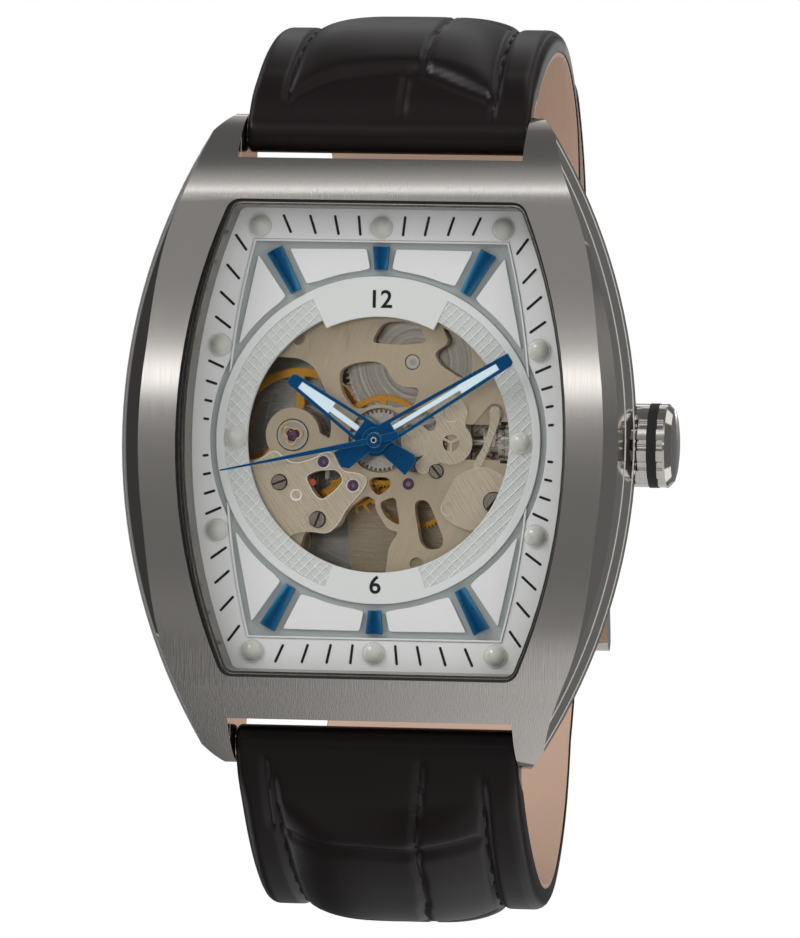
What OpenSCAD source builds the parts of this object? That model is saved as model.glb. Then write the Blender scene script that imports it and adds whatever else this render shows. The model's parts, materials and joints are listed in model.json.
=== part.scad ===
// Skeleton wristwatch with a barrel-shaped steel case, an open dial and a padded leather strap.
// Inside the modules x points to 3 o'clock, y to 12 o'clock and z out of the dial. The finished watch
// stands upright: its dial faces -Y, 12 o'clock is up, and the origin is the middle of the case back.

/* [Case] */
// Width of the case at its widest line
case_w = 39.9; // [39:0.1:42]
// How far the lugs reach beyond the body
lug_reach = 3.5; // [3:0.1:4.5]
// Thickness from the case back to the middle of the crystal
case_h = 12.8; // [12.6:0.1:13.6]
// Width of the strap between the lugs
strap_w = 22; // [20:0.5:23]
// Radius of the barrel-shaped sides, seen from the front
side_r = 45; // [40:1:55]
// Radius of the curved front, seen from the side
front_r = 141.5; // [120:1:200]
// Radius at which the front rolls down over the lugs
lug_roll_r = 8.3; // [7.5:0.1:9]
// Half the length of the body between the lugs
body_half = 21.5; // [21:0.1:21.6]
// Half the width of the opening in the front
opening_hw = 15.05; // [14.8:0.05:15.4]
// Half the height of the opening in the front
opening_hh = 18.3; // [18:0.05:18.6]

/* [Crown] */
// Diameter of the crown
crown_d = 6.45; // [5.6:0.05:6.8]
// Length of the crown
crown_len = 3.9; // [3.6:0.1:4.5]
// Number of flutes in the crown
crown_flutes = 12; // [10:1:16]
// How far the crown pulls out
crown_travel = 1; // [0.8:0.05:1]

/* [Dial and hands] */
// Radius of the opening in the dial
dial_open_r = 10.15; // [9.9:0.05:10.4]
// Outer radius of the patterned ring
lattice_r = 11.93; // [11.6:0.05:12.2]
// Radius of the domed pips
pip_r = 0.85; // [0.6:0.05:1]
// Length of the hour hand from the middle
hour_len = 8.2; // [7:0.1:9]
// Length of the minute hand from the middle
minute_len = 12.2; // [11:0.1:13]
// Length of the second hand from the middle
second_len = 12.2; // [11:0.1:13]
// Hour that the hands show
shown_hour = 10; // [0:1:11]
// Minute that the hands show
shown_minute = 9; // [0:1:59]
// Second that the hands show
shown_second = 43; // [0:1:59]

/* [Movement] */
// Radius of the main plate
plate_r = 12.9; // [12.8:0.05:13]
// Thickness of the main plate
plate_t = 1.5; // [1.4:0.05:1.6]
// Radius of the balance wheel
balance_r = 5.2; // [4.8:0.05:5.3]
// Teeth of the barrel
barrel_teeth = 82; // [82:1:82]
// Thickness of the thin brass wheels
wheel_t = 0.15; // [0.1:0.01:0.18]
// Radius of the rotor
rotor_r = 12.3; // [11:0.1:12.5]
// Turns of the hairspring
hairspring_turns = 8; // [5:1:10]

/* [Strap] */
// How much narrower the strap is at its buckle
strap_narrowing = 2; // [1:0.5:4]
// Thickness of the strap at the lugs
strap_t_lug = 3.4; // [3:0.1:3.8]
// Thickness of the strap at the buckle
strap_t_end = 2.4; // [2:0.1:2.4]
// Thickness of the strap's lining
lining_t = 0.6; // [0.4:0.1:0.8]

/* [Hidden] */
$fn = 48;

// Running gap between pieces that turn or slide
run = 0.05;
// Gap between pieces that are fitted together
fit = 0.02;

// Heights above the outer face of the case back
back_t = 1.2;
case_bottom = 0.6;
rotor_z = 1.3;
// Where the heavy half of the rotor hangs, from 6 o'clock
rotor_a = -55;
bridge_z = 2.35;
bridge_t = 0.7;
fourth_z = 3.2;
ratchet_z = 3.5;
ratchet_t = 0.3;
third_z = 3.95;
barrel_z = 4.4;
escape_z = 4.62;
centre_z = 5.25;
plate_z = 5.7;
plate_top = plate_z + plate_t;
works_z = plate_z + 0.6;
dial_z = 8.0;
track_z = 8.6;
hour_z = 9.45;
minute_z = 9.95;
second_z = 10.45;
hand_t = 0.2;
seat_z = 11.0;
stem_z = 5.15;

// Radii of the barrel-shaped outlines, and of their corners
inner_side_r = 46.3;
inner_corner_r = 1.2;

// Places in the movement, seen from the dial
O = [0, 0];
P_balance = [-6.84, 0.30];
P_pallet = [-4.38, -1.72];
P_escape = [-2.03, -3.50];
P_third = [2.22, -3.30];
P_barrel = [2.36, 6.05];
P_minute = [2.83, 0];
P_crown_wheel = [6.9, 0];
P_lever = [11.2, 2.4];
P_yoke = [8.84, 2.22];

// Teeth of the wheels, and the modules that their distances give
centre_pinion_n = 14;
centre_n = 80;
third_pinion_n = 10;
third_n = 75;
fourth_pinion_n = 10;
fourth_n = 84;
escape_pinion_n = 7;
escape_n = 15;
cannon_n = 12;
minute_n = 36;
minute_pinion_n = 10;
hour_n = 40;
winding_n = 13;
crown_wheel_n = 28;
ratchet_n = 48;
m_barrel = 2 * norm(P_barrel) / (barrel_teeth + centre_pinion_n);
m_centre = 2 * norm(P_third) / (centre_n + third_pinion_n);
m_third = 2 * norm(P_third) / (third_n + fourth_pinion_n);
m_fourth = 2 * norm(P_escape) / (fourth_n + escape_pinion_n);
m_minute = 2 * norm(P_minute) / (cannon_n + minute_n);
m_hour = 2 * norm(P_minute) / (minute_pinion_n + hour_n);
m_ratchet = 2 * norm(P_barrel - P_crown_wheel) / (crown_wheel_n + ratchet_n);

// Angles of the hands, anticlockwise from 3 o'clock
second_a = 90 - 6 * shown_second;
minute_a = 90 - 6 * (shown_minute + shown_second / 60);
hour_a = 90 - 30 * (shown_hour + shown_minute / 60 + shown_second / 3600);

// Crown and stem
crown_r = crown_d / 2;
crown_x = 18.9;
tube_r = 1.0;
stem_r = 0.45;
groove_r = 0.28;
pinion_x = 9.5;
pinion_len = 0.8;
clutch_x = 7.85;
clutch_len = 1.6;
clutch_r = 1.15;
lever_pin_x = 11.3;

// Lugs and spring bars
bar_y = body_half + 2;
strap_w_end = strap_w - strap_narrowing;
lug_to_lug = 2 * (body_half + lug_reach);
bar_z = 5.3;
bar_r = 0.75;
roll_r = 1.5;

// Colours
steel = [0.62, 0.61, 0.6];
nickel = [0.66, 0.63, 0.56];
brass = [0.82, 0.62, 0.25];
blue = [0.03, 0.29, 0.5];
silver = [0.86, 0.87, 0.87];
glassy = [0.8, 0.9, 0.95, 0.3];
lume = [0.83, 0.9, 0.92];
leather = [0.12, 0.09, 0.08];
suede = [0.66, 0.55, 0.48];
rubber = [0.06, 0.06, 0.06];
ruby = [0.5, 0.16, 0.35];

// Outlines and small shapes

// A point at a radius and an angle
function polar(r, a) = [r * cos(a), r * sin(a)];

// Points along an arc
function arc(c, r, a0, a1, n) = [for (i = [0:n]) c + polar(r, a0 + (a1 - a0) * i / n)];

// A list without its first entry
function tail(p) = [for (i = [1:len(p) - 1]) p[i]];

// A list without its last entry
function front(p) = [for (i = [0:len(p) - 2]) p[i]];

// A barrel-shaped outline with arcs for sides, straight ends and rounded corners
function tonneau(hw, hh, rs = inner_side_r, rc = inner_corner_r) =
    let (
        c = hw - rs,
        dx = sqrt(pow(rs - rc, 2) - pow(hh - rc, 2)),
        th = atan2(hh - rc, dx),
        k = c + dx,
        q = hh - rc
    )
    concat(
        arc([c, 0], rs, -th, th, 20),
        tail(arc([k, q], rc, th, 90, 4)),
        arc([-k, q], rc, 90, 180 - th, 4),
        tail(arc([-c, 0], rs, 180 - th, 180 + th, 20)),
        tail(arc([-k, -q], rc, 180 + th, 270, 4)),
        front(arc([k, -q], rc, 270, 360 - th, 4))
    );

// The same outline, moved inwards by d on all sides
function inset(hw, hh, d) = tonneau(hw - d, hh - d, inner_side_r - d, max(inner_corner_r - d, 0.4));

// An outline of few points with its corners rounded off
function rounded(p, r) = [
    for (i = [0:len(p) - 1])
        let (
            v = p[i],
            a = p[(i + len(p) - 1) % len(p)] - v,
            b = p[(i + 1) % len(p)] - v,
            s = v + a / norm(a) * min(r, norm(a) * 0.45),
            e = v + b / norm(b) * min(r, norm(b) * 0.45)
        )
        for (t = [0:0.25:1])
            s * pow(1 - t, 2) + v * 2 * t * (1 - t) + e * t * t
];

// A toothed outline; tooth 0 is centred at the angle phase
function gear_points(n, m, phase = 0) =
    let (p = 360 / n, root = n * m / 2 - 1.1 * m, tip = n * m / 2 + 0.9 * m)
    [
        for (i = [0:n - 1])
            let (a = phase + i * p)
            each [polar(root, a - 0.29 * p), polar(tip, a - 0.11 * p),
                polar(tip, a + 0.11 * p), polar(root, a + 0.29 * p)]
    ];

// Where tooth 0 of a second wheel lies, so that it meshes with a first one.
// The second wheel's middle lies at the angle way from the first one's.
function mesh_phase(way, phase, n1, n2) = way + 180 - 360 / n2 * (0.5 - (way - phase) * n1 / 360);

// The angle from one place to another
function way(a, b) = atan2(b[1] - a[1], b[0] - a[0]);

// A straight bar with round ends, lying flat
module bar(a, b, w, h) {
    translate([a[0], a[1], 0])
        rotate([0, 0, way(a, b)]) {
            translate([0, -w / 2, 0]) cube([norm(b - a), w, h]);
            cylinder(r = w / 2, h = h);
            translate([norm(b - a), 0, 0]) cylinder(r = w / 2, h = h);
        }
}

// A flat plate of an outline, from height z0 to z1
module slab(points, z0, z1) {
    translate([0, 0, z0]) linear_extrude(height = z1 - z0) polygon(points);
}

// A disc or a shaft at a place, from height z0 to z1
module disc(p, r, z0, z1) {
    translate([p[0], p[1], z0]) cylinder(r = r, h = z1 - z0);
}

// A toothed wheel with spokes, its underside at z
module spoked_wheel(p, n, m, phase, z, t, spokes, hub, spoke_w, rim, turn = 0) {
    r = n * m / 2;
    translate([p[0], p[1], z]) {
        difference() {
            linear_extrude(height = t) polygon(gear_points(n, m, phase));
            translate([0, 0, -1]) cylinder(r = r - rim, h = t + 2);
        }
        cylinder(r = hub, h = t);
        for (i = [0:spokes - 1])
            rotate([0, 0, turn + i * 360 / spokes])
                translate([hub * 0.6, -spoke_w / 2, 0]) cube([r - rim * 0.7 - hub * 0.6, spoke_w, t]);
    }
}

// A toothed pinion from z0 to z1
module pinion(p, n, m, phase, z0, z1) {
    translate([p[0], p[1], z0])
        linear_extrude(height = z1 - z0) polygon(gear_points(n, m, phase));
}

// A slotted screw with its head's underside at z
module screw(p, r, z, head_t, shank_r, shank, turn) {
    translate([p[0], p[1], z])
        rotate([0, 0, turn])
            difference() {
                union() {
                    cylinder(r = r, h = head_t);
                    translate([0, 0, -shank]) cylinder(r = shank_r, h = shank + 0.05);
                }
                translate([-2 * r, -r * 0.14, head_t * 0.5]) cube([4 * r, r * 0.28, head_t]);
            }
}

// Stands the watch up, dial to the front
module upright() {
    rotate([90, 0, 0]) children();
}

// Case

// Height of the curved front at a distance y from the middle
roll_y = 18 - lug_roll_r * 18 / front_r;
roll_z = case_h - front_r + sqrt(front_r * front_r - 18 * 18) - lug_roll_r * sqrt(1 - pow(18 / front_r, 2));
function front_z(y) =
    abs(y) < 18 ? case_h - front_r + sqrt(front_r * front_r - y * y)
    : abs(y) < roll_y + lug_roll_r ? roll_z + sqrt(lug_roll_r * lug_roll_r - pow(abs(y) - roll_y, 2))
    : roll_z;

// Half the width of the case at a distance y from the middle
function case_x(y) = sqrt(side_r * side_r - y * y) - side_r + case_w / 2;

// The outline seen from the side, extruded across the case
module side_form() {
    rotate([90, 0, 90])
        linear_extrude(height = case_w + 4, center = true)
            intersection() {
                union() {
                    intersection() {
                        translate([0, case_h - front_r]) circle(r = front_r, $fn = 360);
                        translate([-18, -1]) square([36, 20]);
                    }
                    for (s = [-1, 1])
                        translate([s * roll_y, roll_z]) circle(r = lug_roll_r, $fn = 96);
                }
                polygon([[-lug_to_lug / 2, 1.7], [-19, case_bottom], [19, case_bottom],
                    [lug_to_lug / 2, 1.7], [lug_to_lug / 2, 20], [-lug_to_lug / 2, 20]]);
            }
}

// The body of revolution that gives one side its curve and its two ridges
module side_turning() {
    mid = side_r - case_w / 2;
    translate([-mid, 0, 0])
        rotate_extrude($fn = 180)
            polygon([[0, -1], [side_r - 1.9, -1], [side_r - 1.5, case_bottom], [side_r - 0.9, 1.2],
                [side_r, 8.4], [side_r - 0.3, 9.6], [side_r - 0.75, 11.2], [side_r - 1.5, 14], [0, 14]]);
}

// A bevel along the front edge of one side. It runs out toward the lug tips.
bevel_in = 1.95;
function fade(y) = let (u = max(0, min(1, (abs(y) - 12) / (lug_to_lug / 2 - 12)))) u * u * (3 - 2 * u);
function bevel_w(y, a, set) = sin(a) * (case_x(y) - set * (1 - 0.85 * fade(y))) + cos(a) * (front_z(y) - 0.15);
module bevel_form(a, set) {
    half = lug_to_lug / 2 + 1;
    rotate([0, a, 0])
        rotate([90, 0, 90])
            linear_extrude(height = 120, center = true)
                polygon(concat(
                    [for (i = [-20:20]) [i * half / 20, bevel_w(i * half / 20, a, set)]],
                    [[half, -60], [-half, -60]]));
}

module case_middle() {
    cavity = inset(opening_hw, opening_hh, 0.3);
    color(steel)
        upright()
            difference() {
                intersection() {
                    side_form();
                    side_turning();
                    mirror([1, 0, 0]) side_turning();
                    // the wide polished bevel, and the narrow break above it
                    for (m = [0, 1]) mirror([m, 0, 0]) bevel_form(50.9, bevel_in);
                    for (m = [0, 1]) mirror([m, 0, 0]) bevel_form(24, bevel_in + 0.05);
                }
                // gaps between the lugs
                for (s = [-1, 1])
                    translate([-strap_w / 2, s * (body_half + 5) - 5, -1]) cube([strap_w, 10, 16]);
                // seat of the crystal, and the hollow for the movement
                slab(tonneau(opening_hw, opening_hh), seat_z, 15);
                slab(cavity, back_t, seat_z + 0.1);
                slab(inset(back_hw, back_hh, -fit), -1, back_t);
                // way in for the crown
                translate([13, 0, stem_z]) rotate([0, 90, 0]) cylinder(r = tube_r + fit, h = 10);
                translate([crown_x - 0.2, 0, stem_z]) rotate([0, 90, 0]) cylinder(r = crown_r + 0.3, h = 5);
                for (p = back_screw_places())
                    disc(p, screw_r + run, 0, 3.2);
                // holes for the ends of the spring bars
                for (s = [-1, 1])
                    translate([-strap_w / 2 - 1.2, s * bar_y, bar_z])
                        rotate([0, 90, 0]) cylinder(r = tip_r + fit, h = strap_w + 2.4);
            }
}

module crystal() {
    color(glassy)
        upright()
            intersection() {
                slab(inset(opening_hw, opening_hh, gasket_t + 2 * fit), seat_z + fit, 15);
                translate([0, 0, case_h - front_r])
                    rotate([0, 90, 0]) cylinder(r = front_r, h = 60, center = true, $fn = 360);
            }
}

gasket_t = 0.2;
module crystal_gasket() {
    color(rubber)
        upright()
            difference() {
                slab(inset(opening_hw, opening_hh, fit), seat_z + fit, 11.4);
                slab(inset(opening_hw, opening_hh, fit + gasket_t), seat_z - 1, 13);
            }
}

// The sloping ring between the crystal and the dial
module rehaut() {
    top = inset(opening_hw, opening_hh, 0.45);
    low = inset(opening_hw, opening_hh, 0.62);
    color(steel)
        upright()
            difference() {
                slab(inset(opening_hw, opening_hh, 0.33), track_z + fit, seat_z - fit);
                hull() {
                    slab(low, track_z - 0.2, track_z + 0.1);
                    slab(top, seat_z - 0.1, seat_z + 0.2);
                }
            }
}

// Case back

back_hw = 16.6;
back_hh = 20.2;
window_r = 10.8;
window_t = 0.75;
screw_r = 0.45;
screw_head_r = 0.8;
function back_screw_places() = [for (sx = [-1, 1], sy = [-1, 1]) [sx * (back_hw - 5.4), sy * (back_hh - 1.1)]];

module case_back() {
    color(steel)
        upright()
            difference() {
                slab(inset(back_hw, back_hh, 0), 0, back_t - fit);
                disc(O, window_r - 0.5, -1, 2);
                disc(O, window_r + fit, -1, window_t + fit);
                for (p = back_screw_places()) {
                    disc(p, screw_head_r + run, -1, 0.5);
                    disc(p, screw_r + run, 0, 2);
                }
            }
}

module back_window() {
    color(glassy) upright() disc(O, window_r, 0, window_t);
}

module case_back_screws() {
    color(steel)
        upright()
            for (p = back_screw_places())
                translate([p[0], p[1], 0.5 - fit])
                    mirror([0, 0, 1]) screw(O, screw_head_r, 0, 0.4, screw_r, 2.4, 35);
}

// Crown, tube and stem

module along_x(x, r, len) {
    translate([x, 0, stem_z]) rotate([0, 90, 0]) cylinder(r = r, h = len);
}

module crown_tube() {
    color(steel)
        upright()
            difference() {
                along_x(14.9, tube_r, 5.5);
                along_x(14, stem_r + 0.15, 8);
            }
}

ring_x = crown_x + 1.75;
ring_w = 0.75;
ring_deep = 0.35;
module crown() {
    end_x = crown_x + crown_len;
    color(steel)
        upright()
            difference() {
                translate([crown_x, 0, stem_z])
                    rotate([0, 90, 0])
                        rotate_extrude($fn = 96)
                            polygon(concat(
                                [[0, 0], [crown_r - 0.25, 0], [crown_r, 0.25], [crown_r, ring_x - crown_x],
                                    [crown_r - ring_deep, ring_x - crown_x],
                                    [crown_r - ring_deep, ring_x - crown_x + ring_w],
                                    [crown_r, ring_x - crown_x + ring_w], [crown_r, crown_len - 0.75],
                                    [crown_r - 0.3, crown_len - 0.45]],
                                [for (i = [1:5]) [(crown_r - 0.3) * cos(i * 18), crown_len - 0.45 + 0.45 * sin(i * 18)]]));
                // hollow that slides over the tube
                translate([crown_x - 1, 0, stem_z]) rotate([0, 90, 0]) cylinder(r = tube_r + 0.3, h = 2.9);
                along_x(crown_x, stem_r + fit, crown_len - 1);
                for (i = [0:crown_flutes - 1])
                    translate([crown_x - 1, 0, stem_z])
                        rotate([i * 360 / crown_flutes, 0, 0])
                            translate([0, 0, crown_r + 0.33])
                                rotate([0, 90, 0]) cylinder(r = 0.56, h = crown_len + 0.1, $fn = 24);
            }
}

module crown_ring() {
    color(rubber)
        upright()
            difference() {
                along_x(ring_x + fit, crown_r + 0.02, ring_w - 2 * fit);
                along_x(ring_x - 1, crown_r - ring_deep + fit, 3);
            }
}

module winding_stem() {
    groove_x = lever_pin_x - 0.26;
    color(steel)
        upright()
            difference() {
                along_x(5.95, stem_r, crown_x + crown_len - 1.1 - 5.95);
                // groove that the setting lever holds
                difference() {
                    along_x(groove_x, 1, 0.52);
                    along_x(groove_x - 1, groove_r, 3);
                }
            }
}

// Keyless works

module winding_pinion() {
    color(steel)
        upright()
            difference() {
                translate([pinion_x, 0, stem_z])
                    rotate([0, 90, 0])
                        linear_extrude(height = pinion_len) polygon(gear_points(winding_n, m_ratchet, 0));
                along_x(pinion_x - 1, stem_r + run, 4);
            }
}

module sliding_clutch() {
    color(steel)
        upright()
            difference() {
                union() {
                    along_x(clutch_x, clutch_r, 0.5);
                    along_x(clutch_x, 0.8, clutch_len);
                    along_x(clutch_x + 1.1, clutch_r, clutch_len - 1.1);
                }
                along_x(clutch_x - 1, stem_r + run, 4);
                for (i = [0:11])
                    translate([clutch_x + clutch_len - 0.2, 0, stem_z])
                        rotate([i * 30, 0, 0]) translate([0, -0.1, 0.85]) cube([1, 0.2, 1]);
            }
}

module setting_lever() {
    p_pin = [lever_pin_x, 0];
    color(steel)
        upright()
            difference() {
                union() {
                    translate([0, 0, plate_top + fit]) bar(P_lever, p_pin, 0.7, 0.3);
                    translate([0, 0, plate_top + fit]) bar(P_lever, P_lever + [-1.1, 0.9], 0.5, 0.3);
                    disc(P_lever, 0.62, plate_top + fit, plate_top + 0.3);
                    disc(p_pin, 0.2, stem_z + 0.35, plate_top + 0.2);
                }
                disc(P_lever, 0.25 + run, 0, 20);
            }
}

module yoke() {
    color(steel)
        upright()
            difference() {
                union() {
                    translate([0, 0, plate_top - 0.35]) bar(P_yoke, [clutch_x + 0.8, 0.1], 0.4, 0.3);
                    disc(P_yoke, 0.5, plate_top - 0.35, plate_top - 0.05);
                    translate([clutch_x + 0.62, -0.35, stem_z + 0.85]) cube([0.36, 0.5, plate_top - 0.1 - stem_z - 0.85]);
                }
                disc(P_yoke, 0.2 + run, 0, 20);
            }
}

module crown_wheel() {
    phase = 360 / crown_wheel_n / 2;
    color(steel)
        upright()
            difference() {
                pinion(P_crown_wheel, crown_wheel_n, m_ratchet, phase, ratchet_z, ratchet_z + ratchet_t);
                disc(P_crown_wheel, 0.7 + run, 0, 10);
                disc(P_crown_wheel, 1.6, ratchet_z - 1, ratchet_z + 0.1);
            }
}

module ratchet_wheel() {
    phase = mesh_phase(way(P_crown_wheel, P_barrel), 360 / crown_wheel_n / 2, crown_wheel_n, ratchet_n);
    color(steel)
        upright() {
            pinion(P_barrel, ratchet_n, m_ratchet, phase, ratchet_z, ratchet_z + ratchet_t);
            // arbor of the barrel
            disc(P_barrel, 0.55, bridge_z + 0.3, plate_top - 0.1);
        }
}

// Going train

module barrel() {
    r = barrel_teeth * m_barrel / 2;
    color(nickel)
        upright()
            difference() {
                union() {
                    pinion(P_barrel, barrel_teeth, m_barrel, 0, barrel_z, barrel_z + 0.35);
                    disc(P_barrel, r - 0.45, barrel_z, barrel_z + 0.72);
                }
                disc(P_barrel, 0.55 + run, 0, 10);
                // rings turned into the lid
                for (q = [[1.9, 2.1], [2.6, 2.75], [3.15, 3.3], [4.1, 4.25]])
                    difference() {
                        disc(P_barrel, q[1], barrel_z + 0.62, barrel_z + 1);
                        disc(P_barrel, q[0], barrel_z + 0.5, barrel_z + 1.1);
                    }
            }
}

module centre_wheel() {
    phase = mesh_phase(way(P_barrel, O), 0, barrel_teeth, centre_pinion_n);
    color(brass)
        upright()
            difference() {
                union() {
                    spoked_wheel(O, centre_n, m_centre, 0, centre_z, wheel_t, 5, 1.2, 0.45, 0.45, 20);
                    pinion(O, centre_pinion_n, m_barrel, phase, third_z + 0.4, barrel_z + 0.7);
                    disc(O, 0.42, third_z + 0.4, minute_z - 0.1);
                    disc(O, 0.75, barrel_z + 0.6, centre_z + 0.1);
                }
                disc(O, 0.2 + run, 0, 20);
            }
}

module cannon_pinion() {
    color(steel)
        upright()
            difference() {
                union() {
                    pinion(O, cannon_n, m_minute, 0, works_z + 0.05, works_z + 0.45);
                    disc(O, 0.6, works_z + 0.05, minute_z + 0.3);
                }
                disc(O, 0.42 + fit, 0, 20);
            }
}

module minute_wheel() {
    phase = mesh_phase(0, 0, cannon_n, minute_n);
    color(silver)
        upright()
            difference() {
                union() {
                    pinion(P_minute, minute_n, m_minute, phase, works_z + 0.1, works_z + 0.3);
                    pinion(P_minute, minute_pinion_n, m_hour, 0, works_z + 0.25, works_z + 0.8);
                }
                disc(P_minute, 0.25 + run, 0, 20);
                for (i = [0:5])
                    disc(P_minute + polar(1.2, i * 60), 0.25, 0, 20);
            }
}

module hour_wheel() {
    phase = mesh_phase(180, 0, minute_pinion_n, hour_n);
    color(silver)
        upright()
            difference() {
                union() {
                    pinion(O, hour_n, m_hour, phase, works_z + 0.55, works_z + 0.75);
                    disc(O, 0.92, works_z + 0.55, hour_z + 0.28);
                }
                disc(O, 0.6 + run, 0, 20);
            }
}

module third_wheel() {
    pinion_phase = mesh_phase(way(O, P_third), 0, centre_n, third_pinion_n);
    wheel_phase = 0;
    color(brass)
        upright() {
            spoked_wheel(P_third, third_n, m_third, wheel_phase, third_z, wheel_t, 5, 0.8, 0.4, 0.42, 50);
            pinion(P_third, third_pinion_n, m_centre, pinion_phase, centre_z - 0.15, centre_z + 0.3);
            disc(P_third, 0.24, third_z - 0.3, plate_z + 0.1);
            disc(P_third, 0.1, bridge_z + 0.2, plate_top - 0.08);
        }
}

module fourth_wheel() {
    pinion_phase = mesh_phase(way(P_third, O), 0, third_n, fourth_pinion_n);
    color(brass)
        upright() {
            spoked_wheel(O, fourth_n, m_fourth, 0, fourth_z, wheel_t, 5, 0.8, 0.4, 0.42, 0);
            pinion(O, fourth_pinion_n, m_third, pinion_phase, fourth_z + 0.1, third_z + 0.28);
            disc(O, 0.2, fourth_z - 0.1, second_z + 0.18);
            disc(O, 0.12, bridge_z + 0.35, fourth_z);
        }
}

// Escapement

module escape_wheel() {
    pinion_phase = mesh_phase(way(O, P_escape), 0, fourth_n, escape_pinion_n);
    rim_r = 1.55;
    color(brass)
        upright() {
            translate([P_escape[0], P_escape[1], escape_z]) {
                difference() {
                    linear_extrude(height = wheel_t)
                        polygon([
                            for (i = [0:escape_n - 1])
                                let (a = 24 * i)
                                each [polar(rim_r, a - 6), polar(escape_r, a + 4),
                                    polar(escape_r, a + 7), polar(rim_r + 0.1, a + 5)]
                        ]);
                    translate([0, 0, -1]) cylinder(r = rim_r - 0.25, h = 3);
                }
                cylinder(r = 0.45, h = wheel_t);
                for (i = [0:3])
                    rotate([0, 0, 20 + i * 90]) translate([0.3, -0.13, 0]) cube([rim_r - 0.4, 0.26, wheel_t]);
            }
            pinion(P_escape, escape_pinion_n, m_fourth, pinion_phase, fourth_z - 0.06, fourth_z + 0.5);
            disc(P_escape, 0.17, fourth_z - 0.06, plate_z + 0.1);
            disc(P_escape, 0.1, bridge_z + 0.2, plate_top - 0.08);
        }
}

fork_z = 4.58;
fork_t = 0.22;
escape_r = 2.2;
fork_a = way(P_pallet, P_balance);
module pallet_fork() {
    reach = norm(P_balance - P_pallet) - 0.8;
    stone_r = 1.2;
    entry = way(P_pallet, P_escape) + 58;
    exit = way(P_pallet, P_escape) - 58;
    color(steel)
        upright()
            difference() {
                union() {
                    translate([0, 0, fork_z]) {
                        bar(P_pallet, P_pallet + polar(reach - 0.45, fork_a), 0.32, fork_t);
                        bar(P_pallet + polar(reach - 0.45, fork_a), P_pallet + polar(reach - 0.2, fork_a), 0.7, fork_t);
                        bar(P_pallet, P_pallet + polar(stone_r, entry), 0.3, fork_t);
                        bar(P_pallet, P_pallet + polar(stone_r, exit), 0.3, fork_t);
                    }
                    disc(P_pallet, 0.35, fork_z, fork_z + fork_t);
                    disc(P_pallet, 0.16, fork_z - 0.1, plate_z + 0.1);
                    disc(P_pallet, 0.1, fork_z - 0.45, plate_top - 0.08);
                }
                // notch for the impulse pin
                translate([P_balance[0], P_balance[1], 0])
                    rotate([0, 0, fork_a + 180]) translate([0, -0.16, 0]) cube([1.25, 0.32, 20]);
            }
}

module pallet_bridge() {
    feet = [[-4.05, -0.55], [-5.9, -2.3]];
    z0 = fork_z - 0.55;
    color(nickel)
        upright()
            difference() {
                union() {
                    for (f = feet) {
                        translate([0, 0, z0]) bar(P_pallet, f, 0.8, 0.4);
                        disc(f, 0.35, z0, plate_z);
                    }
                    disc(P_pallet, 0.6, z0, z0 + 0.4);
                }
                disc(P_pallet, 0.1 + run, 0, 6);
            }
}

balance_z = 3.55;
module balance_wheel() {
    rim_w = 0.62;
    color(brass)
        upright() {
            difference() {
                disc(P_balance, balance_r, balance_z, balance_z + 0.6);
                disc(P_balance, balance_r - rim_w, 0, 10);
            }
            for (i = [0:2])
                translate([P_balance[0], P_balance[1], balance_z + 0.05])
                    rotate([0, 0, 90 + i * 120]) translate([0.3, -0.32, 0]) cube([balance_r - 0.6, 0.64, 0.25]);
            disc(P_balance, 0.85, balance_z + 0.05, balance_z + 0.3);
            disc(P_balance, 0.5, balance_z - 0.38, balance_z + 0.1);
            disc(P_balance, 0.18, balance_z, plate_z + 0.1);
            disc(P_balance, 0.1, bridge_z + 0.15, plate_top - 0.3);
            // roller and impulse pin
            disc(P_balance, 0.7, fork_z + fork_t + 0.12, fork_z + fork_t + 0.3);
            disc(P_balance + polar(0.5, fork_a + 180), 0.1, fork_z, fork_z + fork_t + 0.2);
        }
}

// A flat spiral of even pitch, pinned at its outer end
module hairspring() {
    r0 = 0.62;
    r1 = 2.5;
    w = 0.05;
    steps = 20 * hairspring_turns;
    inner = [for (i = [0:steps]) polar(r0 + (r1 - r0) * i / steps, i * 18)];
    outer = [for (i = [steps:-1:0]) polar(r0 + w + (r1 - r0) * i / steps, i * 18)];
    color(steel)
        upright()
            translate([P_balance[0], P_balance[1], 3.2]) {
                linear_extrude(height = 0.18) polygon(concat(inner, outer));
                // stud under the cock
                translate([r1 + 0.1, 0, -0.15]) cylinder(r = 0.22, h = 0.4);
            }
}

// Plates and bridges

// Windows of the main plate and of what lies on it
w_balance = [[-12.2, 6.0], [-8.2, 6.3], [-6.4, 6.2], [-5.3, 5.6], [-4.4, 3.9], [-3.95, 2.7], [-3.85, 0.2],
    [-5.2, -1.2], [-8.4, -0.6], [-9.2, -1.5], [-11.9, -2.2]];
w_top = [[-3.2, 5.4], [-2.4, 5.85], [-0.85, 6.1], [0.1, 5.9], [0.9, 4.6], [1.6, 4.15], [3.0, 4.1],
    [2.5, 2.6], [-2.2, 2.4], [-3.1, 3.6], [-3.3, 4.7]];
w_barrel_left = [[-0.9, 7.5], [0.0, 9.05], [1.4, 9.2], [3.0, 8.8], [3.5, 7.55], [1.4, 7.35]];
w_barrel_right = [[4.55, 8.9], [5.6, 8.2], [6.9, 7.6], [7.25, 4.8], [6.0, 4.9], [4.4, 5.95], [4.0, 6.8], [5.2, 7.6]];
w_escape = [[-5.75, -2.85], [-4.8, -2.4], [-3.3, -2.3], [-2.75, -3.1], [-3.5, -4.0], [-4.5, -4.7], [-5.1, -4.1]];
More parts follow.
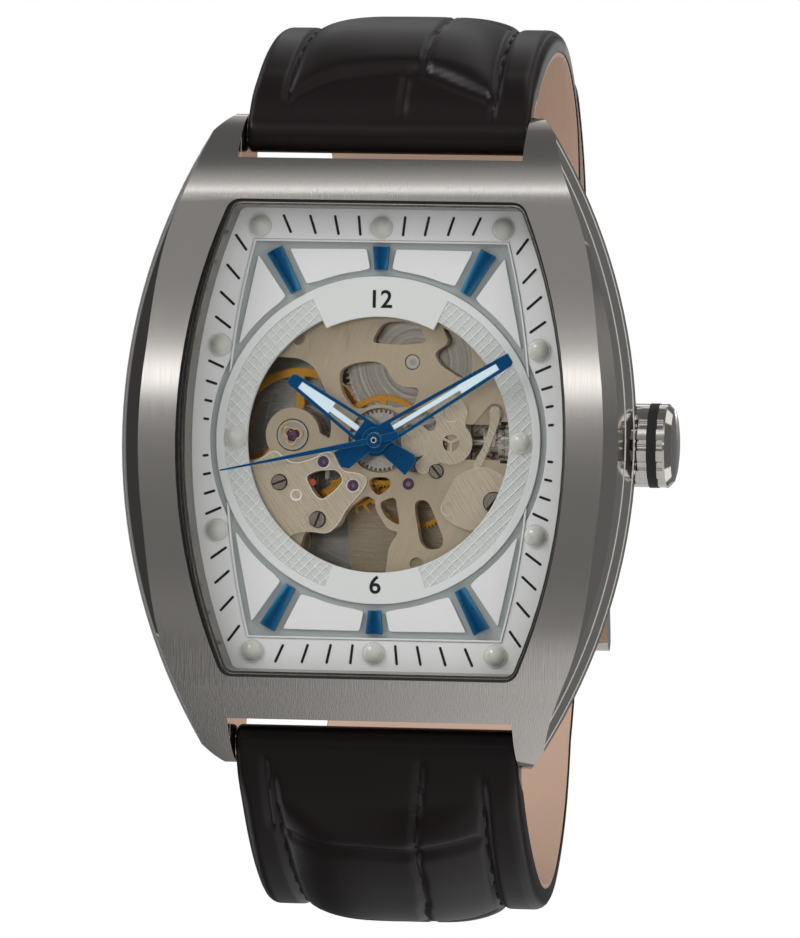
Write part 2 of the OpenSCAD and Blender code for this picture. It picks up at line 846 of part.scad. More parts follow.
w_bottom = [[-2.5, -5.3], [-1.0, -4.2], [-0.3, -4.6], [-0.3, -5.3], [0.7, -6.85], [1.6, -6.95], [0.8, -8.1], [0.45, -11.6],
    [-3.2, -11.2], [-6.4, -9.4], [-5.75, -7.1], [-3.2, -6.85]];
w_triangle = [[-0.05, -4.75], [1.25, -4.25], [1.4, -5.25], [1.65, -6.6], [0.45, -5.9]];
w_centre = [[-0.75, -2.85], [0.7, -2.8], [0.95, -3.5], [-0.15, -4.35], [-0.85, -3.5]];
w_slot = [[2.7, -4.9], [3.0, -4.5], [3.7, -4.55], [4.05, -5.1], [5.05, -7.5], [4.9, -8.2], [3.8, -8.35], [3.2, -7.8]];

jewel_r = 0.45;
shock_r = 1.25;
cock_foot = [-7.5, -7.9];
pillars = [[-4.5, 10.6], [10.3, 5.3], [6.2, -9.2], [9.9, -5.4], cock_foot];
// Screws on the dial side: place, radius of the head, height of its seat, angle of the slot
front_screws = [[[-7.75, -3.35], 0.55, plate_top + 0.35, 20], [[-4.72, -6.16], 0.57, plate_top + 0.35, 70],
    [[4.38, -2.29], 0.5, plate_top, 130], [[8.9, -4.6], 0.75, plate_top + 0.25, 50]];
module main_plate() {
    color(nickel)
        upright() {
            difference() {
                union() {
                    difference() {
                        disc(O, plate_r, plate_z, plate_top);
                        for (w = [w_balance, w_top, w_barrel_left, w_barrel_right, w_escape, w_bottom, w_triangle, w_centre, w_slot])
                            slab(rounded(w, 0.5), 0, 20);
                    }
                    // arm that carries the balance
                    disc(P_balance, 2.1, plate_z, plate_top);
                    translate([0, 0, plate_z]) bar(P_balance, [-4.2, -1.2], 2.4, plate_t);
                    // bed of the centre wheels
                    disc(O, 2.75, plate_z, plate_top);
                    // block around the stem, clear of the barrel's teeth
                    difference() {
                        union() {
                            translate([5.75, -1.7, 4.3]) cube([6.6, 3.4, plate_z - 4.3 + 0.1]);
                            translate([9.0, -1.95, 4.3]) cube([1.9, 3.9, plate_z - 4.3 + 0.1]);
                        }
                        disc(P_barrel, barrel_teeth * m_barrel / 2 + 0.9 * m_barrel + 0.12, 0, plate_z);
                    }
                    // pillars under the bridges
                    for (f = pillars)
                        disc(f, 0.9, bridge_z + bridge_t, plate_z + 0.1);
                }
                // bed of the motion works
                disc(O, 2.5, works_z, 20);
                disc(P_minute, 2.4, works_z, 20);
                disc(O, 0.42 + run, 0, 20);
                // jewel holes
                for (p = [P_pallet, P_escape, P_third])
                    disc(p, jewel_r, 0, 20);
                disc(P_balance, shock_r, plate_top - 0.6, 20);
                disc(P_balance, 0.5, 0, 20);
                disc(P_barrel, 0.55 + run, 0, 20);
                // stem, pinion, clutch and yoke
                along_x(5.95 - run, stem_r + run, 8);
                translate([6.6, -1.35, 0]) cube([3.9, 2.7, 20]);
                translate([pinion_x - 0.2, -1.6, 0]) cube([pinion_len + 0.4, 3.2, 20]);
                translate([0, 0, plate_top - 0.45]) bar(P_yoke, [7.4, 0.5], 1.5, 2);
                bar([lever_pin_x, 0], [lever_pin_x + crown_travel, 0.3], 0.4 + 4 * run, 20);
                // screw holes, blind holes and the sunk field at 11 o'clock
                for (f = pillars)
                    disc(f, 0.28, 0, 4.4);
                for (q = front_screws)
                    disc(q[0], 0.28, plate_top - 0.9, 20);
                disc([-6.53, 7.73], 0.5, plate_top - 0.6, 20);
                disc([2.98, -9.47], 0.55, plate_top - 0.6, 20);
                slab(rounded([[-5.7, 8.4], [-2.6, 8.5], [-2.6, 6.45], [-5.65, 6.4]], 0.25), plate_top - 0.15, 20);
            }
            // posts of the minute wheel, the yoke and the setting lever
            disc(P_minute, 0.25, works_z - 0.1, works_z + 0.85);
            disc(P_yoke, 0.2, plate_top - 0.5, plate_top - 0.05);
            disc(P_lever, 0.25, plate_top - 0.1, plate_top + 0.32);
        }
}

// Screws of the covers and, with their heads sunk in the back bridges, of the pillars
module movement_screws() {
    color(steel)
        upright() {
            for (q = front_screws)
                screw(q[0], q[1], q[2], 0.22, 0.25, q[2] - plate_top + 0.7, q[3]);
            for (f = pillars)
                translate([f[0], f[1], bridge_z + 0.35])
                    mirror([0, 0, 1])
                        rotate([0, 0, 25 * f[0]]) {
                            screw(O, 0.6, 0, 0.3, 0.25, 1.5, 0);
                        }
        }
}

// Holes for those screws in a bridge
module bridge_holes(places) {
    for (f = places) {
        disc(f, 0.25 + fit, 0, 20);
        disc(f, 0.62, 0, bridge_z + 0.35);
    }
}

// Brushed cover over the escapement, at the lower left of the dial opening
module train_cover() {
    outline = [[-10.4, -2.1], [-9.1, -1.5], [-8.2, -0.75], [-6.8, -1.95], [-5.0, -1.45], [-4.4, -0.9], [-3.6, -1.0], [-2.9, -2.45],
        [-1.55, -2.5], [-0.85, -3.0], [-1.2, -3.8], [-2.5, -5.3], [-3.1, -6.5], [-3.9, -7.3], [-5.2, -7.1], [-6.4, -7.2],
        [-8.0, -8.3]];
    color(nickel)
        upright()
            difference() {
                slab(rounded(outline, 0.7), plate_top, plate_top + 0.35);
                slab(rounded(w_escape, 0.4), 0, 20);
                for (p = [P_pallet, P_escape])
                    disc(p, jewel_r, 0, 20);
                for (q = front_screws)
                    disc(q[0], 0.28, 0, 20);
                disc([-6.44, -4.3], 0.4, plate_top + 0.2, 20);
            }
}

// Cover of the winding works, with a spoked window over the intermediate wheel
module keyless_cover() {
    color(nickel)
        upright()
            difference() {
                union() {
                    disc([5.42, 2.2], 1.3, plate_top, plate_top + 0.3);
                    disc([5.5, -0.1], 1.65, plate_top, plate_top + 0.3);
                    translate([4.3, -0.1, plate_top]) cube([2.3, 2.4, 0.3]);
                    translate([0, 0, plate_top]) bar([5.0, -0.5], [3.4, -1.9], 1.2, 0.3);
                    disc(P_minute, 1.2, works_z + 0.86, plate_top + 0.3);
                    translate([0, 0, plate_top]) bar(P_minute, [5.2, 0.1], 1.5, 0.3);
                }
                disc(P_minute, 0.85, 0, plate_top);
                disc([5.42, 2.2], 0.66, plate_top + 0.15, 20);
                difference() {
                    disc([5.5, -0.1], 0.66, 0, 20);
                    for (i = [0:2])
                        translate([5.5, -0.1, 0]) rotate([0, 0, 30 + i * 120]) translate([0, -0.09, 0]) cube([2, 0.18, 20]);
                }
                disc(front_screws[2][0], front_screws[2][1] + 0.06, 0, 20);
            }
}

// Plate with the springs that press on the setting lever and the yoke
module setting_spring_plate() {
    plate = [[5.9, -2.6], [7.3, -2.0], [8.3, -1.85], [9.6, -2.5], [10.6, -3.0], [11.6, -4.4], [7.4, -6.9], [5.6, -6.3],
        [4.6, -5.2], [5.3, -3.9]];
    spring = [[8.55, 2.75], [9.25, 2.75], [9.2, 1.6], [8.45, -0.5], [7.9, -1.8], [7.35, -2.2], [7.2, -1.8], [8.1, -0.1],
        [8.55, 1.7]];
    color(nickel)
        upright() {
            difference() {
                slab(rounded(plate, 0.6), plate_top, plate_top + 0.25);
                disc([5.33, -5.14], 0.5, plate_top + 0.1, 20);
                for (q = front_screws)
                    disc(q[0], 0.28, 0, 20);
            }
            slab(rounded(spring, 0.3), plate_top, plate_top + 0.2);
        }
}

// Jewels: plain bearing stones, with the shock setting of the balance
module movement_jewels() {
    color(ruby)
        upright() {
            for (p = [P_pallet, P_escape])
                difference() {
                    disc(p, jewel_r - fit, plate_top - 0.3, plate_top + 0.3);
                    disc(p, 0.1 + run, 0, plate_top + 0.1);
                    disc(p, 0.2, plate_top + 0.15, 20);
                }
            difference() {
                disc(P_third, jewel_r - fit, plate_top - 0.4, plate_top);
                disc(P_third, 0.1 + run, 0, plate_top - 0.04);
                disc(P_third, 0.2, plate_top - 0.02, 20);
            }
            difference() {
                disc(P_balance, shock_r - fit, plate_top - 0.6, plate_top + 0.08);
                disc(P_balance, 0.95, plate_top - 0.1, 20);
                disc(P_balance, 0.1 + run, 0, plate_top - 0.2);
            }
        }
}

// Back bridges

// The part of the movement's round that a straight-sided outline cuts out
module bridge_form(points) {
    intersection() {
        disc(O, 12.35, bridge_z, bridge_z + bridge_t);
        slab(points, bridge_z - 1, bridge_z + 2);
    }
}

module barrel_bridge() {
    color(nickel)
        upright()
            difference() {
                union() {
                    bridge_form([[-7.0, 12.5], [-3.2, 5.3], [2.0, 2.3], [3.7, -1.9], [13, -2.8], [13, 13]]);
                    // boss of the crown wheel
                    disc(P_crown_wheel, 0.7, bridge_z, ratchet_z + ratchet_t + 0.05);
                    disc(P_crown_wheel, 1.5, bridge_z, ratchet_z + 0.06);
                }
                disc(P_barrel, 0.55 + run, 0, 20);
                disc(P_barrel, 1.5, 0, bridge_z + 0.25);
                bridge_holes([pillars[0], pillars[1]]);
            }
}

module train_bridge() {
    color(nickel)
        upright()
            difference() {
                union() {
                    bridge_form([[-1.9, 4.2], [1.75, 2.05], [3.45, -2.15], [13, -3.1], [9, -13], [-2.5, -13],
                        [-3.2, -5.2], [-3.4, -3.0]]);
                    // post of the rotor
                    disc(O, 0.8, rotor_z + 0.25, bridge_z + 0.1);
                    disc(O, 1.15, rotor_z + 0.05, rotor_z + 0.25);
                }
                disc(O, 0.12 + run, bridge_z + 0.3, 20);
                for (p = [P_third, P_escape])
                    disc(p, 0.1 + run, bridge_z + 0.15, 20);
                bridge_holes([pillars[2], pillars[3]]);
                translate([-0.9, -0.1, 0]) cube([1.8, 0.2, rotor_z + 0.15]);
            }
}

module balance_cock() {
    color(nickel)
        upright()
            difference() {
                union() {
                    translate([0, 0, bridge_z]) bar(P_balance, cock_foot, 2.6, bridge_t);
                    disc(cock_foot, 1.5, bridge_z, bridge_z + bridge_t);
                    disc(P_balance, 1.9, bridge_z, bridge_z + bridge_t);
                    // stud holder
                    translate([P_balance[0], P_balance[1] - 0.35, bridge_z]) cube([2.95, 0.7, bridge_t - 0.02]);
                }
                disc(P_balance, 0.1 + run, bridge_z + 0.1, 20);
                disc(P_balance, 0.9, bridge_z + 0.6, 20);
                bridge_holes([cock_foot]);
            }
}

module rotor() {
    color(steel)
        upright()
            rotate([0, 0, rotor_a])
            difference() {
                union() {
                    // thin web and heavy rim
                    intersection() {
                        union() {
                            disc(O, rotor_r - 0.5, rotor_z + 0.35, rotor_z + 0.75);
                            difference() {
                                disc(O, rotor_r, rotor_z + 0.05, rotor_z + 0.9);
                                disc(O, rotor_r - 2.4, 0, 20);
                            }
                        }
                        translate([-15, -15.6, 0]) cube([30, 15, 20]);
                    }
                    disc(O, 2.3, rotor_z + 0.35, rotor_z + 0.75);
                    translate([0, 0, rotor_z + 0.35]) bar([0, 0], [0, -3], 4, 0.4);
                }
                disc(O, 0.8 + run, 0, 20);
                // fields sunk into the side that is seen through the case back
                for (a = [-140, -90, -40])
                    slab(rounded([polar(3.6, a - 12), polar(9.2, a - 17), polar(9.6, a), polar(9.2, a + 17),
                        polar(3.6, a + 12)], 0.8), 0, rotor_z + 0.52);
            }
}

module movement_holder() {
    color(silver)
        upright()
            difference() {
                slab(inset(opening_hw, opening_hh, 0.3 + run), bridge_z, dial_z);
                disc(O, plate_r + fit, plate_z - fit, 20);
                disc(O, plate_r - 0.35, 0, 20);
                along_x(10, tube_r + 0.2, 8);
            }
}

// Dial

module dial_plate() {
    color(silver)
        upright()
            difference() {
                slab(inset(opening_hw, opening_hh, 0.3 + run), dial_z, track_z);
                disc(O, 12.6, dial_z + 0.2, 20);
                disc(O, dial_open_r, 0, 20);
                // grooved field inside the frame, above and below the ring
                for (s = [-1, 1])
                    difference() {
                        slab(frame_field(s, 0), dial_z + 0.35, 20);
                        for (q = dial_panels(s))
                            slab(q, 0, 20);
                        disc(O, 12.6, 0, 20);
                    }
                // sunk ring round the dial ring
                difference() {
                    disc(O, 13.05, dial_z + 0.35, 20);
                    disc(O, 12.6, 0, 20);
                }
            }
}

// The field between the ring and the track on one side, smaller all round by d
function frame_field(s, d) =
    let (
        hw = 11.62 - d,
        top = 15.33 - d,
        side = [for (i = [0:8]) let (y = 5.0 + d + (top - 5.0 - d) * i / 8) [frame_x(y) - d, y * s]]
    )
    concat(side, [for (i = [8:-1:0]) [-side[i][0], side[i][1]]]);
function frame_x(y) = sqrt(60 * 60 - y * y) - 60 + 11.86;

// White panels between the markers
function dial_panels(s) = [
    for (m = [-1, 1])
        each [
            rounded([[m * 1.15, s * 14.65], [m * 7.1, s * 14.6], [m * 5.75, s * 11.9], [m * 0.85, s * 13.15]], 0.2),
            rounded([[m * 9.55, s * 14.1], [m * 10.95, s * 7.2], [m * 7.35, s * 10.95]], 0.2)
        ]
];

// A wedge from the middle, half_a degrees to each side of an angle
function wedge(a, half_a) = [O, polar(16, a - half_a), polar(20, a), polar(16, a + half_a)];

// Ring with the plain sectors at 12 and 6 and a sunk field for the pattern
module dial_ring() {
    lip = 0.69;
    color(silver)
        upright()
            difference() {
                disc(O, 12.58, dial_z + 0.22, track_z + 0.05);
                disc(O, dial_open_r - lip, 0, 20);
                difference() {
                    disc(O, dial_open_r, 0, 20);
                    slab(wedge(90, 26), -1, 21);
                }
                difference() {
                    disc(O, lattice_r, track_z - 0.1, 20);
                    slab(wedge(90, 26), 0, 21);
                    slab(wedge(-90, 19), 0, 21);
                }
            }
}

// Thin raised edge of the frame
module dial_frame() {
    color(silver)
        upright()
            for (s = [-1, 1])
                difference() {
                    slab(frame_field(s, 0.02), dial_z + 0.37, track_z + 0.12);
                    slab(frame_field(s, 0.18), 0, 20);
                    disc(O, 12.62, 0, 20);
                }
}

// A marker with two sloping faces that meet along its middle
module marker(a, b, wa, wb) {
    d = (b - a) / norm(b - a);
    n = [-d[1], d[0]];
    hull() {
        slab([a + n * wa / 2, a - n * wa / 2, b - n * wb / 2, b + n * wb / 2], dial_z + 0.35, track_z + 0.15);
        slab([a + n * 0.02, a - n * 0.02, b - n * 0.02, b + n * 0.02], track_z, track_z + 0.4);
    }
}

module hour_markers() {
    color(blue)
        upright()
            for (s = [-1, 1]) {
                marker([0, s * 14.86], [0, s * 13.04], 1.32, 1.0);
                for (m = [-1, 1])
                    marker([m * 8.3, s * 14.5], [m * 6.55, s * 11.3], 1.3, 0.85);
            }
}

// Twelve glassy domes, each in a thin ring
function pip_places() = concat(
    [[0, 16.32], [0, -16.32], [11.05, 0], [-11.05, 0]],
    [for (sx = [-1, 1], sy = [-1, 1]) each [[sx * 9.41, sy * 16.33], [sx * 12.33, sy * 7.1]]]);

module lume_pips() {
    color(lume)
        upright()
            for (p = pip_places()) {
                z = norm(p) < lattice_r ? track_z - 0.1 : track_z;
                disc(p, pip_r * 1.03, z, z + 0.16);
                intersection() {
                    translate([p[0], p[1], z - 0.35]) sphere(r = pip_r + 0.1);
                    disc(p, pip_r, z, z + 2);
                }
            }
}

// Hands

// One hand of a pair: a long leaf with a window, a hub and a flared tail, pointing along +x
module leaf_hand(len, tip_w, root_w, tail_len, tail_w, win0, win1, bore, hub) {
    difference() {
        union() {
            linear_extrude(height = hand_t)
                polygon([[len - 0.25, -tip_w / 2], [len, -tip_w * 0.3], [len, tip_w / 2], [0.8, root_w / 2],
                    [-0.5, 0.55], [-tail_len, tail_w / 2], [-tail_len - 0.1, -tail_w * 0.25],
                    [-tail_len + 0.35, -tail_w / 2], [-0.5, -0.55], [0.8, -root_w / 2]]);
            cylinder(r = hub, h = hand_t);
        }
        translate([0, 0, -1]) cylinder(r = bore + fit, h = 3);
        translate([0, 0, -1]) linear_extrude(height = 3) polygon(hand_window(len, tip_w, root_w, win0, win1, 0));
    }
}

// Half the width of a hand at a distance from the middle
function hand_hw(x, len, tip_w, root_w) = (root_w - (root_w - tip_w) * (x - 0.8) / (len - 0.8)) / 2;

// The window of a hand, or its inlay where gap is more than 0
function hand_window(len, tip_w, root_w, w0, w1, gap) =
    let (
        h0 = hand_hw(w0 + gap, len, tip_w, root_w) - hand_border - gap,
        h1 = hand_hw(w1 - gap, len, tip_w, root_w) - hand_border - gap
    )
    [[w0 + gap, -h0], [w1 - gap, -h1], [w1 - gap, h1], [w0 + gap, h0]];

// Pale inlay: wide near the tip, then a narrow strip toward the hub
module hand_inlay(len, tip_w, root_w, w0, w1, step, strip_w) {
    linear_extrude(height = hand_t * 0.8) polygon(hand_window(len, tip_w, root_w, step, w1, fit));
    translate([w0 + fit, 0.1 - strip_w / 2, 0]) cube([step - w0 + 0.1, strip_w, hand_t * 0.8]);
}

hand_border = 0.27;
hour_tip_w = 0.98;
hour_root_w = 2.0;
hour_win = [1.6, hour_len - 0.95];
minute_tip_w = 0.98;
minute_root_w = 1.7;
minute_win = [1.7, minute_len - 1.2];

module place_hand(a, z) {
    upright() translate([0, 0, z]) rotate([0, 0, a]) children();
}

module hour_hand() {
    color(blue)
        place_hand(hour_a, hour_z)
            leaf_hand(hour_len, hour_tip_w, hour_root_w, 3.4, 1.7, hour_win[0], hour_win[1], 0.92, 1.25);
}

module hour_hand_lume() {
    color(lume)
        place_hand(hour_a, hour_z + 0.02)
            hand_inlay(hour_len, hour_tip_w, hour_root_w, hour_win[0], hour_win[1], hour_len * 0.51, 0.42);
}

module minute_hand() {
    color(blue)
        place_hand(minute_a, minute_z)
            leaf_hand(minute_len, minute_tip_w, minute_root_w, 3.2, 1.7, minute_win[0], minute_win[1], 0.6, 1.0);
}

module minute_hand_lume() {
    color(lume)
        place_hand(minute_a, minute_z + 0.02)
            hand_inlay(minute_len, minute_tip_w, minute_root_w, minute_win[0], minute_win[1], minute_len * 0.62, 0.35);
}

module second_hand() {
    color(blue)
        place_hand(second_a, second_z)
            difference() {
                union() {
                    linear_extrude(height = 0.15)
                        polygon([[second_len, -0.06], [second_len, 0.06], [0.4, 0.24], [-1.9, 0.34], [-1.9, -0.34], [0.4, -0.24]]);
                    cylinder(r = 0.56, h = 0.3);
                }
                translate([0, 0, -1]) cylinder(r = 0.2 + fit, h = 1.2);
            }
}

// Strap

tip_r = 0.4;
module spring_bars() {
    color(steel)
        upright()
            for (s = [-1, 1])
                translate([0, s * bar_y, bar_z])
                    rotate([0, 90, 0]) {
                        cylinder(r = bar_r, h = strap_w - 0.6, center = true);
                        cylinder(r = tip_r, h = strap_w + 2, center = true);
                        cylinder(r = 0.6, h = strap_w - 0.2, center = true);
                    }
}

// Middle lines of the two halves in the y-z plane, from the lug to the free end
back_line = -35.2;
line_12 = [[bar_y, bar_z], [bar_y + 3.9, 2.4], [bar_y + 7, -4], [bar_y + 8.2, -11.4], [bar_y + 6.9, -20],
    [bar_y + 2.9, -28], [bar_y - 3, -33], [13, back_line], [4, back_line], [-5.2, back_line]];
line_6 = [[-bar_y, bar_z], [-bar_y - 4.7, 2.6], [-bar_y - 9.7, -4], [-bar_y - 12.3, -11.4], [-bar_y - 11, -20.5],
    [-bar_y - 6.1, -28.6], [0.9 - bar_y, -33.9], [-15, -36.6], [-7, back_line - 2.55], [3, back_line - 2.6],
    [13, back_line - 2.6], [bar_y - 1.9, back_line - 0.4], [bar_y + 5, -30], [bar_y + 9.1, -23]];

// A point on the smooth curve through a list of points
function spline(p, t) =
    let (
        i = min(floor(t), len(p) - 2),
        u = t - i,
        a = p[max(i - 1, 0)],
        b = p[i],
        c = p[i + 1],
        d = p[min(i + 2, len(p) - 1)]
    )
    0.5 * (2 * b + (c - a) * u + (2 * a - 5 * b + 4 * c - d) * u * u + (3 * b - a - 3 * c + d) * u * u * u);

// The curve's direction, and a point beside it
function spline_way(p, t) = let (d = spline(p, min(t + 0.02, len(p) - 1)) - spline(p, max(t - 0.02, 0))) d / norm(d);
function beside(p, t, o) = let (d = spline_way(p, t)) spline(p, t) + [d[1], -d[0]] * o;

// Thickness of the strap along its length
function strap_t(p, t) = strap_t_lug + (strap_t_end - strap_t_lug) * min(1, t / 6);

// A layer of the strap between two shares of its thickness, 1 outside and -1 on the wrist
function layer(p, side, in0, out0, t0, t1) =
    let (n = round((t1 - t0) * 5))
    concat(
        [for (i = [0:n]) let (t = t0 + (t1 - t0) * i / n) beside(p, t, side * out0 * strap_t(p, t) / 2)],
        [for (i = [n:-1:0]) let (t = t0 + (t1 - t0) * i / n) beside(p, t, side * (in0 * strap_t(p, t) / 2))]
    );

// Extrudes an outline in the y-z plane across the strap, as wide as the strap is there
module across(points, w) {
    rotate([90, 0, 90]) linear_extrude(height = w, center = true) polygon(points);
}

// Narrows the strap from the lugs to the buckle
module strap_taper() {
    w0 = strap_w - 0.3;
    intersection() {
        children();
        translate([0, 100, 0])
            rotate([90, 0, 0])
                linear_extrude(height = 200)
                    polygon([[-w0 / 2, 12], [-w0 / 2, -14], [-strap_w_end / 2, back_line + 3], [-strap_w_end / 2, -60],
                        [strap_w_end / 2, -60], [strap_w_end / 2, back_line + 3], [w0 / 2, -14], [w0 / 2, 12]]);
    }
}

// One half of the strap: its padded leather and the roll round the spring bar
module strap_half(p, side, t1) {
    strap_taper()
        difference() {
            union() {
                across(layer(p, side, lining_share, 1, 0, t1), 40);
                translate([0, p[0][0], p[0][1]]) rotate([0, 90, 0]) cylinder(r = roll_r, h = strap_w - 0.3, center = true);
            }
            translate([0, p[0][0], p[0][1]]) rotate([0, 90, 0]) cylinder(r = bar_r + 0.03, h = 60, center = true);
            // room for the lining
            across(layer(p, side, -1.3, lining_share + 0.03, 0.45, t1 + 0.2), 50);
        }
}
lining_share = 1 - 2 * (1 - lining_t / strap_t_end * 0.8);

module strap_lining(p, side, t1) {
    strap_taper() across(layer(p, side, -1, lining_share, 0.46, t1), 40);
}

// The tongue's way through the strap, and the spare holes toward the free end
module strap_holes() {
    translate([-1, buckle_y - 4.4, out_6 - 6]) cube([2, 4.7, 12]);
    for (y = [2.6, 14.6])
        translate([0, y, out_6 - 6]) cylinder(r = 0.9, h = 12);
}

module strap_12() {
    color(leather)
        upright()
            difference() {
                union() {
                    strap_half(line_12, -1, 9);
                    // loop round the buckle's bar
                    translate([0, buckle_y, buckle_z]) rotate([0, 90, 0]) cylinder(r = strap_t_end / 2, h = strap_w_end, center = true);
                }
                translate([0, buckle_y, buckle_z]) rotate([0, 90, 0]) cylinder(r = 0.63, h = 40, center = true);
                translate([-1.1, buckle_y - 3, buckle_z - 4.7]) cube([2.2, 4.8, 10]);
            }
}

module strap_12_lining() {
    color(suede) upright() strap_lining(line_12, -1, 8.6);
}

module strap_6() {
    color(leather)
        upright()
            difference() {
                strap_half(line_6, 1, 13);
                strap_holes();
            }
}

module strap_6_lining() {
    color(suede)
        upright()
            difference() {
                strap_lining(line_6, 1, 12.9);
                strap_holes();
            }
}

// Keepers and buckle

out_6 = back_line - 2.6 - strap_t_end / 2;
in_12 = back_line + strap_t_end / 2;
module keeper(y, w, gap) {
    hw = strap_w_end / 2 + gap;
    color(leather)
        upright()
            translate([0, y - w / 2, 0])
                rotate([-90, 0, 0])
                    linear_extrude(height = w)
                        difference() {
                            polygon([[-hw - 1, -in_12 - gap - 1], [hw + 1, -in_12 - gap - 1], [hw + 1, -out_6 + gap + 1], [-hw - 1, -out_6 + gap + 1]]);
                            polygon([[-hw, -in_12 - gap], [hw, -in_12 - gap], [hw, -out_6 + gap], [-hw, -out_6 + gap]]);
                        }
}

module keeper_fixed() {
    keeper(-1.2, 3.4, 0.12);
}

module keeper_sliding() {
    keeper(6.6, 4, 0.3);
}

buckle_y = -6.9;
buckle_z = back_line - 0.1;
module buckle_bar() {
    color(steel)
        upright()
            translate([0, buckle_y, buckle_z])
                rotate([0, 90, 0]) cylinder(r = 0.6, h = 23.2, center = true);
}

front_bar_y = -15.6;
front_bar_z = out_6 + 0.05;
front_bar_r = 0.95;
module buckle_frame() {
    hw = strap_w_end / 2 + 0.6;
    arm = [[buckle_y + 1.2, buckle_z + 1.0], [buckle_y + 1.2, buckle_z - 1.2], [front_bar_y - 0.4, front_bar_z - 0.95],
        [front_bar_y - 1.2, front_bar_z - 0.2], [front_bar_y - 0.8, front_bar_z + 0.95]];
    color(steel)
        upright()
            difference() {
                union() {
                    for (s = [-1, 1])
                        translate([s * (hw + 0.8), 0, 0]) across(rounded(arm, 0.7), 1.6);
                    translate([0, front_bar_y, front_bar_z])
                        rotate([0, 90, 0]) cylinder(r = front_bar_r, h = 2 * hw + 2, center = true);
                }
                translate([0, buckle_y, buckle_z]) rotate([0, 90, 0]) cylinder(r = 0.6 + run, h = 40, center = true);
            }
}

module buckle_tongue() {
    half = 0.45;
    out = front_bar_z - front_bar_r - half - run;
    line = [[buckle_y, buckle_z], [-8.2, buckle_z - 2.1], [-9.7, out + 1.2], [-12.4, out + 0.05], [front_bar_y, out], [-17, out + 0.3]];
    pts = concat(
        [for (i = [0:20]) beside(line, i / 4, half)],
        [for (i = [20:-1:0]) beside(line, i / 4, -half)]);
    color(steel)
        upright()
            difference() {
                union() {
                    across(pts, 1.6);
                    translate([0, buckle_y, buckle_z]) rotate([0, 90, 0]) cylinder(r = 1.1, h = 1.6, center = true);
                }
                translate([0, buckle_y, buckle_z]) rotate([0, 90, 0]) cylinder(r = 0.6 + run, h = 40, center = true);
            }
}

case_middle();
crystal();
crystal_gasket();
rehaut();
case_back();
back_window();
case_back_screws();
crown_tube();
crown();
crown_ring();
winding_stem();
spring_bars();
strap_12();
strap_12_lining();
strap_6();
strap_6_lining();
keeper_fixed();
keeper_sliding();
buckle_bar();
buckle_frame();
buckle_tongue();
dial_plate();
dial_ring();
dial_frame();
hour_markers();
lume_pips();
hour_hand();
hour_hand_lume();
minute_hand();
minute_hand_lume();
second_hand();
movement_holder();
main_plate();
train_cover();
keyless_cover();
setting_spring_plate();
yoke();
setting_lever();
winding_pinion();
sliding_clutch();
crown_wheel();
ratchet_wheel();
barrel();
centre_wheel();
cannon_pinion();
minute_wheel();
hour_wheel();
third_wheel();
fourth_wheel();
escape_wheel();
pallet_fork();
pallet_bridge();
balance_wheel();
hairspring();
balance_cock();
barrel_bridge();
train_bridge();
movement_jewels();
movement_screws();
rotor();
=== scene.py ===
# %% [markdown]
# A skeleton wristwatch, dressed for its portrait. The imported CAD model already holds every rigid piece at
# its true size and place. This script gives each piece its finish, makes the soft leather strap, prints the
# dial, and then sets up the light and the camera. Lengths are written in millimetres, as a watchmaker
# measures them, and turned into Blender's metres in one place.

import json
import math
from contextlib import contextmanager

import bpy
from mathutils import Matrix, Vector


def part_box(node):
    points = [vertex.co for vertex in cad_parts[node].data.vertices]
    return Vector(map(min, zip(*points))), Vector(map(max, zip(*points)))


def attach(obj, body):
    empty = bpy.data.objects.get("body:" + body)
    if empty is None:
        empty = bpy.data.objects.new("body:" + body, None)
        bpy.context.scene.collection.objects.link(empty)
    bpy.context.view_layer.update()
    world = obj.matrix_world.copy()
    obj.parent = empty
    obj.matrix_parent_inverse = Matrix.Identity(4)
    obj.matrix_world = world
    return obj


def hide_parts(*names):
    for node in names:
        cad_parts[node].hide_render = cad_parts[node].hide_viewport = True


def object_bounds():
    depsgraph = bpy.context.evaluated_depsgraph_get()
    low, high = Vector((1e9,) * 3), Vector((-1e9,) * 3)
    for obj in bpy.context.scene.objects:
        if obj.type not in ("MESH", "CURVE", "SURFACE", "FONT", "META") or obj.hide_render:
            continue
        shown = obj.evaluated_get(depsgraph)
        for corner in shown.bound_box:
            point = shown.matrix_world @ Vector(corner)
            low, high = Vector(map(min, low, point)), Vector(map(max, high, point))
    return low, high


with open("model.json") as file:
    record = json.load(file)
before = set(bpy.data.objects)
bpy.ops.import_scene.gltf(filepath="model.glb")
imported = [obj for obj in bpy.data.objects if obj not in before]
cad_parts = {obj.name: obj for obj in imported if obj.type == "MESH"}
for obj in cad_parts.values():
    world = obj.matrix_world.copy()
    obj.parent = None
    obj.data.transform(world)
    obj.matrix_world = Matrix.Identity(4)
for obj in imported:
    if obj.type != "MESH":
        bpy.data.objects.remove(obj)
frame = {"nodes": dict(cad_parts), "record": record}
cad_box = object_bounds()
bpy.ops.object.select_all(action="DESELECT")
mm = 0.001

# %% [markdown]
# The watch stands upright, so its dial lies in the X-Z plane. A watchmaker thinks of the dial as a sheet of
# paper: x to 3 o'clock, y to 12 o'clock, and a height above the case back. One small function carries such a
# point into the scene, and everything that is placed below goes through it.

# %% Points on the dial
def place(x, y, height):
    return Vector((x, -height, y)) * mm


dial_axes = Matrix(((1, 0, 0), (0, 0, -1), (0, 1, 0)))
print("middle of the dial:", tuple(place(0, 0, 8.6)))

